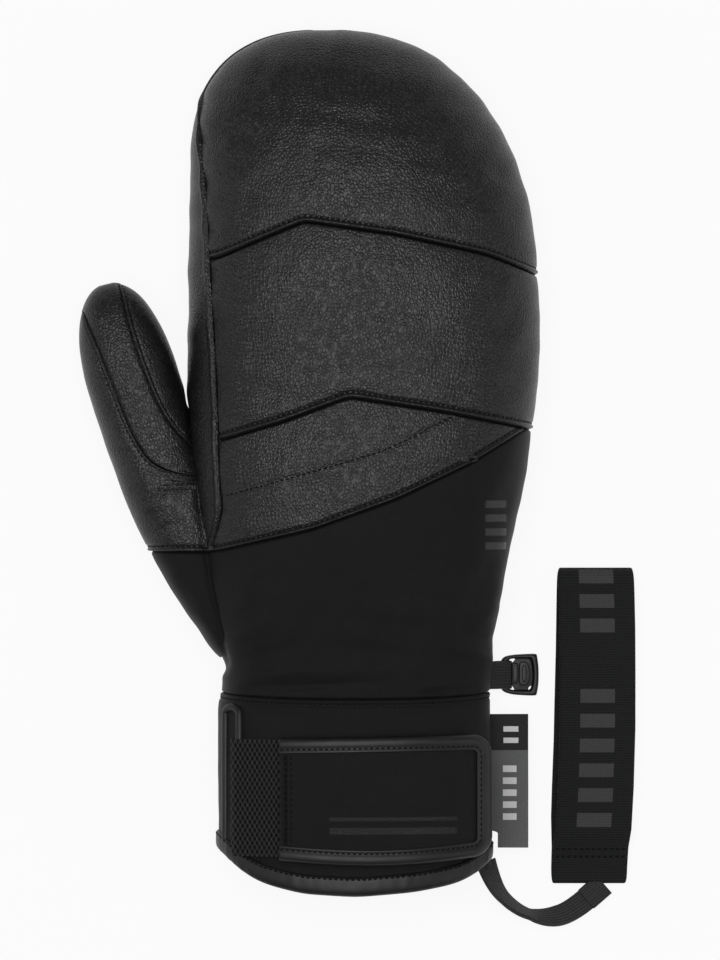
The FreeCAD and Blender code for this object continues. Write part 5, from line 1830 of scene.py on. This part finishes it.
def makeWristLoop(spec):
    # a closed side profile: two layers joined by a round fold at the top and a pinched one at the bottom,
    # with a flat strip's section carried along it
    y = np.linspace(spec["bottom"] + 1.6, spec["top"] - spec["fold"] - 0.8, 90)
    radius, middle = loopShape(spec, y)
    sag = 0.7 * np.sin(np.pi * np.clip((y + 147) / 94.0, 0.0, 1.0))
    turn = np.linspace(-np.pi / 2, np.pi / 2, 24)[1:-1]
    high = np.stack([y[::-1], (middle + radius - sag)[::-1]], axis=1)
    low = np.stack([y, middle - radius], axis=1)
    fold = np.stack([y[-1] + spec["fold"] * np.cos(turn), spec["middle"] + spec["fold"] * np.sin(turn)], axis=1)
    end = np.stack([y[0] - spec["pinch"] * np.cos(turn), spec["pinchZ"] - spec["pinch"] * np.sin(turn)], axis=1)
    loop = np.vstack([low[45:], fold, high, end, low[:45]])
    path = alongLine(np.vstack([loop, loop[:1]]), 361)[:-1]
    run = runAlong(path)
    apex = run[path[:, 0].argmax()]
    radius, middle = loopShape(spec, path[:, 0])
    upper = smooth((path[:, 1] - middle + radius) / (2 * radius))
    topX = np.interp(path[:, 0], *zip(*spec["topLayer"]))
    backX = np.interp(path[:, 0], *zip(*spec["backLayer"]))
    x = backX + (topX - backX) * upper
    centre = np.stack([x, path[:, 0], path[:, 1]], axis=1)
    tangent = unit(np.roll(path, -1, axis=0) - np.roll(path, 1, axis=0))
    outwardUp = np.stack([0 * x, -tangent[:, 1], tangent[:, 0]], axis=1)
    outwardUp = outwardUp * np.sign(((centre - centre.mean(axis=0)) * outwardUp).sum())
    near = np.minimum(spec["top"] + 0.8 - path[:, 0], path[:, 0] - spec["bottom"] + 0.8)
    narrow = 1 - 0.09 * np.exp(-np.maximum(near, 0.0) / 1.3)
    profile = flatProfile(spec["width"], spec["thickness"], 0.7, across=26)
    side = np.tile([1.0, 0.0, 0.0], (len(path), 1)) * narrow[:, None]
    points = carried(centre, profile, side, outwardUp)
    points[..., 2] = np.maximum(points[..., 2], floorGap)
    uv = np.stack(np.broadcast_arrays(profile[None, :, 0], (run - apex)[:, None]), axis=-1)
    return gridMesh("wristLoop", points, points - centre[:, None], ringAcross=True, ringAlong=True, uv=uv)


wristLoopPiece = finishPiece(makeWristLoop(wristLoop), "knit", "mitten", ["wrist_loop"])

tackAt = np.array(leash["points"][-1])
tackAhead = unit(np.array(leash["points"][-1]) - np.array(leash["points"][-2]))
tackPath = np.linspace(tack["from"], tack["to"], tack["rings"])[:, None] * tackAhead[None, :] + tackAt
tackPath[:, 2] = tack["z"]
tangent = unit(np.gradient(tackPath, axis=0))
level = unit(np.cross(tangent, [0.0, 0.0, 1.0]))
profile = flatProfile(tack["width"], tack["thickness"], tack["corner"])
piece = makeStrip("leashTack", tackPath, profile, level, np.tile([0.0, 0.0, 1.0], (tack["rings"], 1)))
tackPiece = finishPiece(piece, "webbing", "mitten", ["leash_tack"])

loopStitches = []
for row in (-143.6, -146.2):
    xs = np.linspace(-12.0, 12.0, 40) + float(np.interp(row, *zip(*wristLoop["topLayer"])))
    radius, middle = loopShape(wristLoop, row)
    z = middle + radius + wristLoop["thickness"] / 2
    loopStitches.append((np.stack([xs, 0 * xs + row, 0 * xs + z], axis=1), np.tile([0.0, 0.0, 1.0], (40, 1))))
loopThread = stitchSet("loopStitches", loopStitches, "mitten")

(leashLine * mm).tolist()
print("leash pieces made")

# ---- floor, light and world ----

stage = {"floorSize": 3.0, "floorZ": -0.25, "floorTone": (0.8, 0.8, 0.803), "lift": 0.9, "world": 0.22}


def makeFloor(spec):
    # a plain pale square that the camera and reflections see nearly white, and that keeps its shadow
    size = spec["floorSize"] / mm / 2
    corners = np.array([[(-size, -size, spec["floorZ"]), (size, -size, spec["floorZ"])],
                        [(-size, size, spec["floorZ"]), (size, size, spec["floorZ"])]])
    floor = gridMesh("plainFloor", corners, np.tile([0.0, 0.0, 1.0], (2, 2, 1)))
    made = Finish("paleFloor")
    tree = made.tree
    connect(tree, made.shader.inputs["Base Color"], spec["floorTone"])
    connect(tree, made.shader.inputs["Roughness"], 0.9)
    rays = tree.nodes.new("ShaderNodeLightPath")
    seen = (Socket(tree, rays.outputs["Is Camera Ray"]) + Socket(tree, rays.outputs["Is Glossy Ray"])
            + Socket(tree, rays.outputs["Is Transmission Ray"])).atMost(1.0)
    glow = tree.nodes.new("ShaderNodeEmission")
    glow.inputs["Color"].default_value = (1.0, 1.0, 1.0, 1.0)
    mix = tree.nodes.new("ShaderNodeMixShader")
    connect(tree, mix.inputs["Fac"], seen * spec["lift"])
    tree.links.new(made.shader.outputs[0], mix.inputs[1])
    tree.links.new(glow.outputs[0], mix.inputs[2])
    tree.links.new(mix.outputs[0], tree.nodes["Material Output"].inputs["Surface"])
    floor.data.materials.append(made.material)


lamps = [  # name, place, aim, width, height, watts
    ("softTop", (-0.06, 0.04, 1.3), (0.0, 0.0, 0.0), 0.8, 0.8, 10.8),
    ("softLeft", (-1.1, -0.1, 0.7), (0.0, 0.0, 0.0), 0.4, 0.9, 2.0),
    ("softRight", (1.1, -0.3, 0.7), (0.0, 0.0, 0.0), 0.4, 0.9, 2.2),
]


def makeLamps(rows):
    for name, place, aim, width, height, watts in rows:
        data = bpy.data.lights.new(name, "AREA")
        data.shape, data.size, data.size_y, data.energy = "RECTANGLE", width, height, watts
        lamp = addObject(name, data)
        lamp.location = place
        lamp.rotation_euler = (Vector(aim) - Vector(place)).to_track_quat("-Z", "Y").to_euler()


def makeWorld(strength):
    world = bpy.data.worlds.new("plainStudio")
    bpy.context.scene.world = world
    world.use_nodes = True
    back = world.node_tree.nodes["Background"]
    back.inputs["Color"].default_value = (1.0, 1.0, 1.0, 1.0)
    back.inputs["Strength"].default_value = strength


makeFloor(stage)
makeLamps(lamps)
makeWorld(stage["world"])
bpy.context.scene.view_settings.view_transform = "Standard"
print("stage made")
